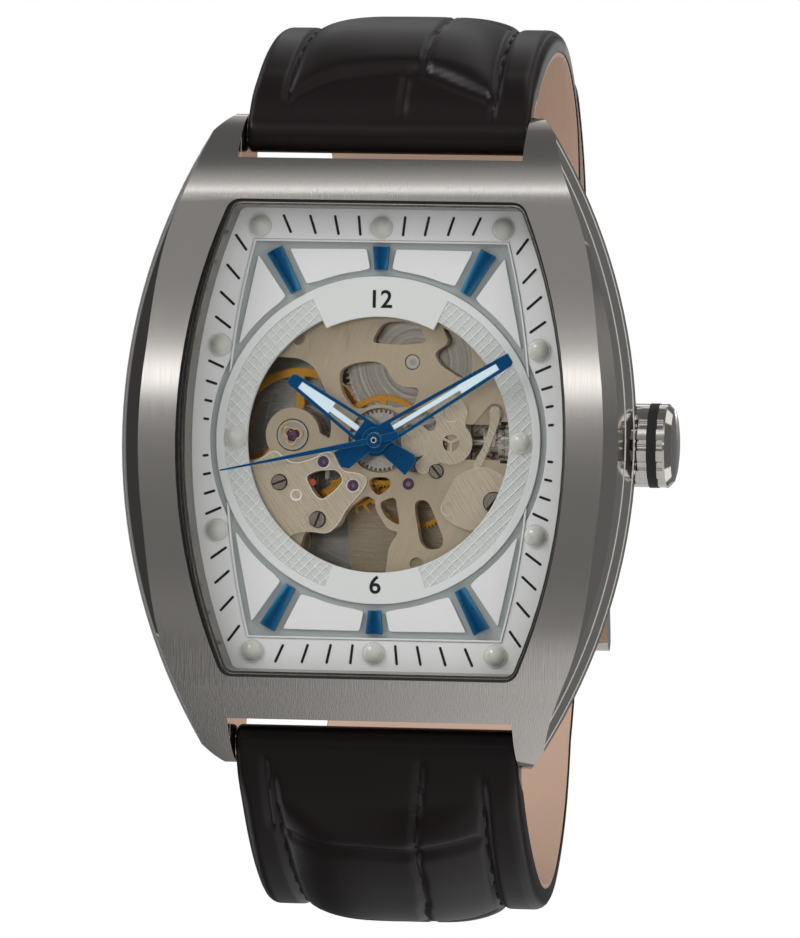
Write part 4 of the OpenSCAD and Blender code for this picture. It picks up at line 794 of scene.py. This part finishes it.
# Painted shade: dark rings in the screw recesses, dark bars in the slots and dark rings round the jewels.
marks = [thin_ring(x, y, plate_top + seat + 0.02, radius + 0.03, recess_shade_width)
         for x, y, seat, radius, _ in screw_places]
marks += [slot_bar(x, y, plate_top + seat + slot_above_seat, radius * slot_length, radius * slot_width,
                   angle)
          for x, y, seat, radius, angle in screw_places]
marks += [thin_ring(x, y, height - 0.1, jewel_radius, jewel_shade_width) for x, y, height in jewel_places]
hand_over(join(marks), "movement_painted_shade", "watch", shadow_metal)
print("dishes:", len(jewel_places), "screws marked:", len(screw_places))

# %% [markdown]
# In the middle of the second hand shows the end of its shaft: a thin bright ring round a dark centre, which
# is painted shade in the end of the shaft.

# %% The end of the shaft
shaft_end = -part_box("second_hand")[0][1] / mm + 0.01
shaft_body = node_body["second_hand"]
hand_over(thin_ring(0, 0, shaft_end, 0.19, 0.035), "shaft_ring", shaft_body, blade_steel)
# Painted shade: a dark flattened ball in the middle of the ring.
hand_over(flat_ball(0, 0, shaft_end, 0.14), "shaft_end_shade", shaft_body, shadow_metal)
print("shaft end at height", round(shaft_end, 2))

# %% [markdown]
# The minute track is printed: sixty places, of which twelve hold a pip and the rest a short black bar. The
# bars point at the middle of the dial, and their outer ends follow the barrel-shaped opening. One bar is a
# thin box with its upright edges rounded, made again for each place.

# %% Print the minute track
ink = finish("black_ink", Base_Color=tone(16, 16, 18))
ink.paint(Roughness=ink.noise(ink.where(), 8000) * 0.2 + 0.35)
track_height = 8.6
track_top = 17.2
track_side = 13.61
track_side_r = 56
track_limit = 22
bar_length = 1.55
bar_width = 0.2
ring_edge = 13.2


def polar(radius, angle):
    return radius * math.cos(math.radians(angle)), radius * math.sin(math.radians(angle))


def track_edge(angle):
    """How far the track reaches from the middle, at an angle."""
    reach = track_top / max(abs(math.sin(math.radians(angle))), 1e-6)
    for _ in range(30):
        x, y = polar(min(reach, track_limit), angle)
        side = track_side - track_side_r + math.sqrt(track_side_r ** 2 - y * y)
        if abs(x) <= side:
            break
        reach = min(reach, track_limit) * (side / abs(x)) ** 0.7
    return min(reach, track_limit)


@contextmanager
def picked(piece, kind, test):
    """Edit mode with only those edges or faces selected that pass the test, then object mode again."""
    take_up(piece)
    bpy.ops.object.mode_set(mode="EDIT")
    bpy.ops.mesh.select_mode(type=kind)
    bpy.ops.mesh.select_all(action="DESELECT")
    bpy.ops.object.mode_set(mode="OBJECT")
    for part in piece.data.edges if kind == "EDGE" else piece.data.polygons:
        part.select = test(part)
    bpy.ops.object.mode_set(mode="EDIT")
    yield
    bpy.ops.object.mode_set(mode="OBJECT")


def edges_along(piece, axis, least):
    """A test for picked: does an edge reach farther than least along an axis?"""
    spots = piece.data.vertices
    return lambda edge: abs(spots[edge.vertices[0]].co[axis] - spots[edge.vertices[1]].co[axis]) > least


def printed_bar(inner, outer, angle):
    x, y = polar((inner + outer) / 2, angle)
    bar = flat_bar(x, y, track_height + 0.01, (outer - inner, 0.02, bar_width), angle)
    with picked(bar, "EDGE", edges_along(bar, 1, 0.01 * mm)):
        bpy.ops.mesh.bevel(offset=0.08 * mm, segments=2)
    return bar


bars = []
for step in range(60):
    if step % 5:
        reach = track_edge(step * 6)
        bars.append(printed_bar(max(reach - bar_length, ring_edge), reach, step * 6))
minute_track = hand_over(join(bars), "minute_track", "watch", ink)
print("bars printed:", len(bars), "faces:", len(minute_track.data.polygons))

# %% [markdown]
# The ring inside the hour markers is engine-turned: a lattice of fine raised lines. It is a square grid at
# 45 degrees whose cells are inset and pushed down, so that narrow walls stay between them, and a ring-shaped
# cutter then trims it to its place. The sectors at 12 and 6 o'clock stay plain and carry a numeral.

# %% Cut the lattice ring
lattice_in = 10.2
lattice_out = 11.9
lattice_pitch = 0.6
lattice_floor = 8.49
lattice_lines = 42
wall_half_width = 0.065
cell_depth = 0.07
lattice_depth = 0.16
plain_at_12 = 26
plain_at_6 = 19


def in_plain_sector(face):
    angle = math.degrees(math.atan2(face.center.z, face.center.x))
    return abs(angle - 90) < plain_at_12 or abs(angle + 90) < plain_at_6


def turn_faces_out():
    with edit_mode():
        bpy.ops.mesh.normals_make_consistent(inside=False)


def ring_cutter():
    """A flat ring without its plain sectors, as thick as the lattice and a little more."""
    bpy.ops.mesh.primitive_circle_add(vertices=180, radius=lattice_in * mm,
                                      rotation=(math.radians(90), 0, 0))
    ring = bpy.context.object
    bpy.ops.object.transform_apply(rotation=True)
    with edit_mode():
        bpy.ops.mesh.extrude_edges_move()
        bpy.ops.transform.resize(value=(lattice_out / lattice_in,) * 3)
    with picked(ring, "FACE", in_plain_sector):
        bpy.ops.mesh.delete(type="FACE")
        bpy.ops.mesh.select_all(action="SELECT")
        bpy.ops.transform.translate(value=(0, -(lattice_floor - 0.01) * mm, 0))
        bpy.ops.mesh.extrude_region_move(TRANSFORM_OT_translate={"value": (0, -0.5 * mm, 0)})
    turn_faces_out()
    return ring


bpy.ops.mesh.primitive_grid_add(x_subdivisions=lattice_lines, y_subdivisions=lattice_lines,
                                size=lattice_lines * lattice_pitch * mm)
lattice = bpy.context.object
with edit_mode():
    bpy.ops.mesh.inset(thickness=wall_half_width * mm, use_individual=True)
    bpy.ops.transform.translate(value=(0, 0, -cell_depth * mm))
    bpy.ops.mesh.select_all(action="SELECT")
    bpy.ops.mesh.extrude_region_move(TRANSFORM_OT_translate={"value": (0, 0, 0)})
for vertex in lattice.data.vertices:
    if vertex.select:
        vertex.co.z = -lattice_depth * mm
turn_faces_out()
lattice.rotation_euler = (math.radians(90), 0, 0)
bpy.ops.object.transform_apply(rotation=True)
lattice.rotation_euler = (0, math.radians(45), 0)
lattice.location = place(0, 0, lattice_floor + 0.14)
bpy.ops.object.transform_apply(location=True, rotation=True)
cutter = ring_cutter()
modify(lattice, "BOOLEAN", operation="INTERSECT", object=cutter, solver="EXACT")
apply_modifiers(lattice)
bpy.data.objects.remove(cutter)
lattice_silver = silvered("lattice_silver", tone(252, 252, 252), tone(208, 211, 208), lattice_floor + 0.11)
hand_over(lattice, "dial_lattice", "watch", lattice_silver)
print("lattice faces:", len(lattice.data.polygons))

# %% [markdown]
# The numerals are printed in the same ink as the track. A text object gives the outline of a figure, a small
# offset makes it bolder, and a small extrusion gives it the thickness of the ink before it becomes a mesh.

# %% Numerals on the ring
numeral_height = 8.66
numeral_size = 1.9
ink_thickness = 0.01
ink_boldness = 0.03


def numeral(text, y):
    bpy.ops.object.text_add(location=place(0, y, numeral_height), rotation=(math.radians(90), 0, 0))
    figure = bpy.context.object
    figure.data.body = text
    figure.data.size = numeral_size * mm
    figure.data.extrude = ink_thickness * mm
    figure.data.offset = ink_boldness * mm
    figure.data.align_x = "CENTER"
    figure.data.align_y = "CENTER"
    bpy.ops.object.convert(target="MESH")
    return figure


figures = join([numeral("12", 10.75), numeral("6", -11.15)])
hand_over(figures, "ring_numerals", "watch", ink)
print("numeral faces:", len(figures.data.polygons))

# %% [markdown]
# The strap is padded leather. Seen from the side, each half follows a smooth curve from its spring bar round
# the wrist, the same curve that the CAD model uses. A flat grid is extruded into a thin box and each of its
# points is then carried to its place along and across the strap. The padding swells in the middle, drops by
# a millimetre at the stitch lines, and the scales of the leather are grooves pressed between soft cushions.

# %% The strap's two curves
bar_y = 23.5
bar_height = 5.3
back_line = -35.2
line_12 = [(bar_y, bar_height), (27.4, 2.4), (30.5, -4), (31.7, -11.4), (30.4, -20), (26.4, -28),
           (20.5, -33), (13, back_line), (4, back_line), (-5.2, back_line)]
line_6 = [(-bar_y, bar_height), (-28.2, 2.6), (-33.2, -4), (-35.8, -11.4), (-34.5, -20.5), (-29.6, -28.6),
          (-22.6, -33.9), (-15, -36.6), (-7, back_line - 2.55), (3, back_line - 2.6), (13, back_line - 2.6),
          (21.6, back_line - 0.4), (28.5, -30), (32.6, -23)]
buckle_at = (-6.9, back_line - 0.1)


def along(line, t):
    """A point on the smooth curve through a list of points, and the curve's direction there."""
    i = max(0, min(int(math.floor(t)), len(line) - 2))
    u = t - i
    p = [Vector(line[max(0, min(k, len(line) - 1))]) for k in (i - 1, i, i + 1, i + 2)]
    ways = (2 * p[1], p[2] - p[0], 2 * p[0] - 5 * p[1] + 4 * p[2] - p[3], 3 * p[1] - p[0] - 3 * p[2] + p[3])
    point = 0.5 * (ways[0] + ways[1] * u + ways[2] * u * u + ways[3] * u ** 3)
    slope = 0.5 * (ways[1] + 2 * ways[2] * u + 3 * ways[3] * u * u)
    return point, slope.normalized()


def strap_rows(line, spacing):
    """Values of t that lie evenly along the curve, each with its distance from the lug."""
    rows = [(0.0, 0.0)]
    steps = 200
    walked = 0
    last = along(line, 0)[0]
    for k in range(1, (len(line) - 1) * steps + 1):
        t = k / steps
        point = along(line, t)[0]
        walked += (point - last).length
        last = point
        if walked - rows[-1][1] >= spacing:
            rows.append((t, walked))
    rows.append((len(line) - 1.0, walked))
    return rows


def on_curve(half, t):
    """A point on a half's curve, the way along it and the way out from the wrist."""
    point, way = along(half["line"], t)
    return point, way, Vector((way.y, -way.x)) * half["side"]


def over_curve(x, point, out, rise):
    return place(x, point.x + out.x * rise, point.y + out.y * rise)


print("length of the long half:", round(strap_rows(line_6, 1)[-1][1], 1), "mm")

# %% [markdown]
# A padded strap is thick in the middle, thin at its sewn edges and creased across where its scales meet. All
# of that is one height over the curve, so one function adds it up for any point: pad, seams, folds along the
# strap, creases across it and rolled edges. The two halves differ only in the numbers of their table.

# %% The strap's thickness
half_width_at_lugs = 10.95
width_drop = 0.95
narrows_from = 3.3
narrows_over = 2.5
thick_at_lugs = 3.4
thick_drop = 1
thins_over = 6
stitches_at_lugs = 8.2
stitches_inward = 0.5
stitches_settle = 20


def strap_width(t):
    """Half the width: straight from the lugs, then narrowing to the buckle."""
    return half_width_at_lugs - width_drop * max(0.0, min(1.0, (t - narrows_from) / narrows_over))


def strap_thick(t):
    return thick_at_lugs - thick_drop * min(1, t / thins_over)


def stitch_place(walked):
    """How far the stitch lines lie from the middle."""
    return stitches_at_lugs - stitches_inward * min(1.0, walked / stitches_settle)


def groove(distance, width):
    return math.exp(-(distance / width) ** 2)


fold_depth = 0.24
fold_width = 0.2
crease_depth = 0.38
crease_width = 0.5
seam_depth = 0.27
seam_width = 0.3


def outer_face(half, x, t, walked):
    """Height of the leather's outer face over the curve, in millimetres."""
    full = strap_thick(t) / 2
    flange = full - 0.25 - 0.4 * ramp(walked, 2, 6)
    seam = stitch_place(walked)
    begins = half["pad_from"] - half["pad_arch"] * (x / 8) ** 2
    swell = half["proud"] * (1 - ramp(walked, half["proud_to"], half["proud_to"] + 9)) - 0.12
    crown = max(0.0, 1 - abs(x / seam) ** 4) * ramp(walked, begins, begins + 3)
    tail = 1 - 0.8 * ramp(walked, half["pad_to"], half["pad_to"] + 4)
    height = flange + (full + swell - flange) * crown * tail
    height -= seam_depth * groove(abs(x) - seam, seam_width) * ramp(walked, 1.5, 3.5)
    crease = half["first_crease"] - half["crease_arch"] * (x / 8) ** 2
    wave = 0.14 * math.sin(walked * 0.55) + 0.05 * math.sin(walked * 1.7)
    for start, end in half["near_grooves"]:
        deep = fold_depth * ramp(walked, 0.3, 1.5) * ramp(crease - walked, -0.1, 0.5)
        height -= deep * groove(x - start - (end - start) * min(1.0, walked / 8), fold_width)
    for start, end in half["far_grooves"]:
        deep = fold_depth * ramp(walked - crease, -0.1, 0.5)
        height -= deep * groove(x - start - (end - start) * min(1.0, walked / 20) - wave, fold_width)
    cells = (walked - crease - 0.12 * math.sin(x * 0.9)) / half["crease_pitch"]
    nearest = abs(cells - max(0, round(cells))) * half["crease_pitch"]
    height -= crease_depth * groove(nearest, crease_width) * (1 - ramp(abs(x), seam - 0.8, seam))
    radius = 0.35 + 0.55 * ramp(walked, 1, 5)
    edge = strap_width(t) - abs(x)
    if edge < radius:
        height -= radius - math.sqrt(max(0.0, radius ** 2 - (radius - edge) ** 2))
    return height


lining_top = -0.6
halves = {
    "12": {"line": line_12, "side": -1, "pad_from": 3.2, "pad_arch": 1.6, "pad_to": 60, "proud": 0.45,
           "proud_to": 19, "near_grooves": ((0.95, 0.95), (8.0, 8.0), (-9.9, -9.9)),
           "far_grooves": ((2.2, 2.7),), "first_crease": 4.9, "crease_arch": 2.6, "crease_pitch": 13.5},
    "6": {"line": line_6, "side": 1, "pad_from": 4.6, "pad_arch": 1.2, "pad_to": 100, "proud": 0.7,
          "proud_to": 40, "near_grooves": ((3.6, 2.4), (-8.7, -8.7)),
          "far_grooves": ((3.2, 2.0),), "first_crease": 8.6, "crease_arch": 1.0, "crease_pitch": 13},
}
leather_columns = [-1, -0.994, -0.98, -0.96, -0.94, -0.92, -0.9, -0.88, -0.86, -0.84, -0.82, -0.8, -0.785,
                   -0.77, -0.755, -0.74, -0.725, -0.71, -0.695, -0.68, -0.665, -0.65, -0.63]
leather_columns += [k / 40 for k in range(-24, 25)] + [-c for c in reversed(leather_columns)]
print(len(leather_columns), "points across the strap")

# %% [markdown]
# Leather and lining are bent by the same function. The leather's rows run round the spring bar first, then
# along the curve, and on the short half round the buckle's bar at the end. The long half ends in a rounded
# tip. The mesh's map gets each point's flat place on the strap.

# %% Shape the leather
bar_clearance = 0.8
loop_outside = 1.2
loop_inside = 0.66


def section(half, row):
    """For one row: its point on the curve, its outward direction, its t and the way walked."""
    kind, value, walked = row
    if kind == "line":
        point, _, out = on_curve(half, value)
        return point, out, value, walked
    turn = math.radians(value)
    if kind == "lug":
        point, way, out = on_curve(half, 0)
        return point, out * math.cos(turn) - way * math.sin(turn), 0.0, 0.0
    last = len(half["line"]) - 1.0
    _, way, out = on_curve(half, last)
    return Vector(buckle_at), out * math.cos(turn) + way * math.sin(turn), last, walked


def leather_rows(half, last_t):
    """Rows as (kind, angle or t, way walked): round the spring bar and then along the curve."""
    rows = [("lug", angle, 0.0) for angle in range(170, 0, -17)]
    rows += [("line", t, walked) for t, walked in strap_rows(half["line"], row_spacing) if t <= last_t]
    return rows


def bend_sheet(name, columns, rows, carry, tip):
    """A flat grid, thickened, whose points carry() takes to their places along and across the strap."""
    bpy.ops.mesh.primitive_grid_add(x_subdivisions=len(columns) - 1, y_subdivisions=len(rows) - 1, size=2)
    piece = bpy.context.object
    with edit_mode():
        bpy.ops.mesh.extrude_region_move(TRANSFORM_OT_translate={"value": (0, 0, 1)})
    flat = piece.data.uv_layers[0]
    spots = {}
    for vertex in piece.data.vertices:
        column = columns[round((vertex.co.x + 1) / 2 * (len(columns) - 1))]
        row = rows[round((vertex.co.y + 1) / 2 * (len(rows) - 1))]
        x, point, out, rise, walked = carry(column, row, vertex.co.z > 0.5)
        if tip and walked > tip[0]:
            share = min(1.0, (walked - tip[0]) / (tip[1] - tip[0]))
            x *= math.sqrt(max(0.0, 1 - share ** 2.2)) * 0.98 + 0.02
        vertex.co = over_curve(x, point, out, rise)
        spots[vertex.index] = (x * 0.01 + 0.5, walked * 0.01)
    for loop in piece.data.loops:
        flat.data[loop.index].uv = spots[loop.vertex_index]
    turn_faces_out()
    smooth_by_angle(50)
    piece.name = name
    return piece


def shape_leather(name, half, rows, tip=None):
    def carry(column, row, outer):
        point, out, t, walked = section(half, row)
        x = column * strap_width(t)
        if row[0] == "loop":
            rise = loop_outside if outer else loop_inside
        elif outer:
            rise = outer_face(half, x, t, walked)
        else:
            rise = bar_clearance
            if row[0] == "line":
                inner = lining_top * strap_thick(t) / 2
                rise += (inner + 0.02 - bar_clearance) * ramp(walked, 1.5, 5)
        return x, point, out, rise, walked

    return bend_sheet(name, leather_columns, rows, carry, tip)


row_spacing = 0.34
tip_length = 9
rows_12 = leather_rows(halves["12"], 9)
rows_12 += [("loop", angle, rows_12[-1][2] + 2) for angle in range(0, 171, 17)]
rows_6 = leather_rows(halves["6"], 13)
tip_6 = (rows_6[-1][2] - tip_length, rows_6[-1][2])
leather_12 = shape_leather("strap_leather_12", halves["12"], rows_12)
leather_6 = shape_leather("strap_leather_6", halves["6"], rows_6, tip_6)
print("leather faces:", len(leather_12.data.polygons), len(leather_6.data.polygons))

# %% [markdown]
# The buckle's tongue goes through a slot, and there are spare holes toward the tip. They are cut with
# boolean modifiers, as a punch would.

# %% Punch the strap
def punch(piece, boxes, rounds):
    """Cuts boxes, each a middle and a size, and round holes, each a y, height, radius and depth."""
    cutters = []
    for x, y, z, sx, sy, sz in boxes:
        bpy.ops.mesh.primitive_cube_add(size=1, location=place(x, y, z))
        cutters.append(bpy.context.object)
        cutters[-1].scale = (sx * mm, sz * mm, sy * mm)
    for y, z, radius, depth in rounds:
        bpy.ops.mesh.primitive_cylinder_add(vertices=32, radius=radius * mm, depth=depth * mm,
                                            location=place(0, y, z), rotation=(math.radians(90), 0, 0))
        cutters.append(bpy.context.object)
    for cutter in cutters:
        modify(piece, "BOOLEAN", object=cutter, solver="EXACT")
    apply_modifiers(piece)
    for cutter in cutters:
        bpy.data.objects.remove(cutter)


tongue_slot = (0, -8.95, -38.5, 2, 4.7, 9)
spare_holes = [(2.6, -38, 0.9, 9), (14.6, -38, 0.9, 9)]
punch(leather_6, [tongue_slot], spare_holes)
punch(leather_12, [(0, buckle_at[0] - 0.6, buckle_at[1] - 1, 2.2, 4.8, 8)], [])
print("punched:", len(leather_6.data.polygons), "faces")

# %% [markdown]
# Crocodile-style leather is nearly black with a soft gloss. A Voronoi pattern for pores and two noises for
# wrinkles and clouds are laid on the map of the name strap_map. The halves bear theirs as UVMap, so for now
# their finish comes out even all over, and so does the lining's.

# %% Leather finishes
leather = finish("strap_leather", Coat_Roughness=0.25, Specular_IOR_Level=0.2)
strap_spot = leather.add("ShaderNodeUVMap", {"uv_map": "strap_map"})
pores = leather.add("ShaderNodeTexVoronoi", {"feature": "DISTANCE_TO_EDGE"},
                    {"Vector": strap_spot, "Scale": 130})
wrinkles = leather.noise(strap_spot, 60, 5)
cloud = leather.noise(strap_spot, 12)
relief = leather.smooth(pores, 0.0, 0.12) * 0.35 + wrinkles
leather.paint(Base_Color=leather.blend(cloud, tone(14, 8, 9), tone(24, 13, 14)),
              Roughness=wrinkles * 0.25 + 0.24, Coat_Weight=cloud * 0.16,
              Normal=leather.bump(relief, 0.1 * mm, 0.5))
for piece, node in ((leather_12, "strap_12"), (leather_6, "strap_6")):
    hand_over(piece, piece.name, "watch", leather)
    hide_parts(node)
print("leather on both halves")

# %% [markdown]
# The lining is a thin band of smooth tan leather on the wrist side. It is a plain sheet with rounded edges,
# shaped by the same function that places the strap.

# %% Shape the lining
lining_columns = [-1, -0.985, -0.95, -0.7, -0.35, 0, 0.35, 0.7, 0.95, 0.985, 1]
lining_spacing = 0.9
lining_inset = 0.1


def shape_lining(name, half, first_t, last_t, tip=None):
    def carry(column, row, outer):
        t, walked = row
        point, _, out = on_curve(half, t)
        x = column * (strap_width(t) - lining_inset)
        rise = strap_thick(t) / 2 * (lining_top if outer else -1)
        if not outer:
            rise += 2.5 * max(0.0, abs(column) - 0.9)
        return x, point, out, rise, walked

    rows = [row for row in strap_rows(half["line"], lining_spacing) if first_t <= row[0] <= last_t]
    return bend_sheet(name, lining_columns, rows, carry, tip)


lining_leather = finish("lining_leather", Roughness=0.62)
stain = lining_leather.noise(lining_leather.add("ShaderNodeUVMap", {"uv_map": "strap_map"}), 25, 5)
lining_leather.paint(Base_Color=lining_leather.blend(stain, tone(186, 154, 134), tone(202, 172, 152)),
                     Normal=lining_leather.bump(stain, 0.05 * mm, 0.4))
lining_12 = shape_lining("strap_lining_12", halves["12"], 0.35, 8.6)
lining_6 = shape_lining("strap_lining_6", halves["6"], 0.35, 12.95, tip_6)
punch(lining_6, [tongue_slot], spare_holes)
for piece, node in ((lining_12, "strap_12_lining"), (lining_6, "strap_6_lining")):
    hand_over(piece, piece.name, "watch", lining_leather)
    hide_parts(node)
print("lining faces:", len(lining_12.data.polygons) + len(lining_6.data.polygons))

# %% [markdown]
# Black thread holds the padding. Each stitch is a small stretched ball that dips into the leather at both
# ends. One is modelled and copied, and each copy is turned to lie along the curve.

# %% Sew the strap
stitch_pitch = 2.5
stitch_radii = (0.17, 0.15, 0.8)
thread = finish("black_thread", Base_Color=tone(10, 9, 9), Specular_IOR_Level=0.3)
thread.paint(Roughness=thread.noise(thread.where(), 6000) * 0.2 + 0.65)


def stitch_line(half, last):
    made = []
    size = Matrix.Diagonal([v * mm for v in stitch_radii])
    for t, walked in strap_rows(half["line"], stitch_pitch):
        if not half["pad_from"] - 1.1 < walked < last:
            continue
        point, way, out = on_curve(half, t)
        ahead = place(0, way.x, way.y).normalized()
        lift = place(0, out.x, out.y).normalized()
        turn = Matrix((Vector((1, 0, 0)), lift, ahead)).transposed()
        for x in (-stitch_place(walked), stitch_place(walked)):
            middle = over_curve(x, point, out, outer_face(half, x, t, walked) - 0.02)
            bpy.ops.mesh.primitive_uv_sphere_add(segments=8, ring_count=5, radius=1)
            stitch = bpy.context.object
            stitch.data.transform(Matrix.Translation(middle) @ (turn @ size).to_4x4())
            made.append(stitch)
    return made


stitches = stitch_line(halves["12"], 60) + stitch_line(halves["6"], 99)
sewing = join(stitches)
turn_faces_out()
bpy.ops.object.shade_smooth()
hand_over(sewing, "strap_stitches", "watch", thread)
print("stitches:", len(stitches))

# %% [markdown]
# Two leather keepers hold the strap's end. Each is a box without ends whose long edges are rounded, given
# its wall by Solidify, and softened by a small bevel.

# %% Keepers
keeper_round = 1.1
keeper_wall = 0.98
keeper_softness = 0.25


def keeper_loop(name, node, body):
    low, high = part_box(node)
    size = high - low
    bpy.ops.mesh.primitive_cube_add(size=1, location=(low + high) / 2)
    loop = bpy.context.object
    loop.scale = size
    bpy.ops.object.transform_apply(location=False, rotation=False, scale=True)
    with picked(loop, "FACE", lambda face: abs(face.normal.z) > 0.9):
        bpy.ops.mesh.delete(type="FACE")
    with picked(loop, "EDGE", edges_along(loop, 2, size.z * 0.9)):
        bpy.ops.mesh.bevel(offset=keeper_round * mm, segments=5)
    modify(loop, "SOLIDIFY", thickness=keeper_wall * mm, offset=-1)
    modify(loop, "BEVEL", width=keeper_softness * mm, segments=3)
    apply_modifiers(loop)
    smooth_by_angle(40)
    hand_over(loop, name, body, keeper_leather)
    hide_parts(node)


keeper_leather = mottled("keeper_leather", 900, tone(14, 10, 11), tone(24, 19, 19), 5, (0.05, 0.5),
                         Roughness=0.42, Specular_IOR_Level=0.3)
keeper_loop("keeper_loop_fixed", "keeper_fixed", "watch")
keeper_loop("keeper_loop_sliding", "keeper_sliding", "keeper")
print("keepers made")

# %% [markdown]
# The balance turns in a shock-proof bearing: a jewel under a gilt spring bent into three lobes. The spring
# is a thin torus whose points are pushed in and out three times round, and the jewel is a flattened ball.

# %% Shock bearing
lyre = thin_ring(*balance_at, 7.28, 0.62, 0.07, 72, 0.16)
hand_over(lyre, "shock_spring", "watch", gilt)
hand_over(flat_ball(*balance_at, 7.18, 0.42, 0.35, 32), "cap_jewel", "watch", ruby)
print("shock bearing at", balance_at)

# %% [markdown]
# Nothing more is added.

# %% Keep the colours as written
bpy.context.scene.view_settings.view_transform = "Standard"
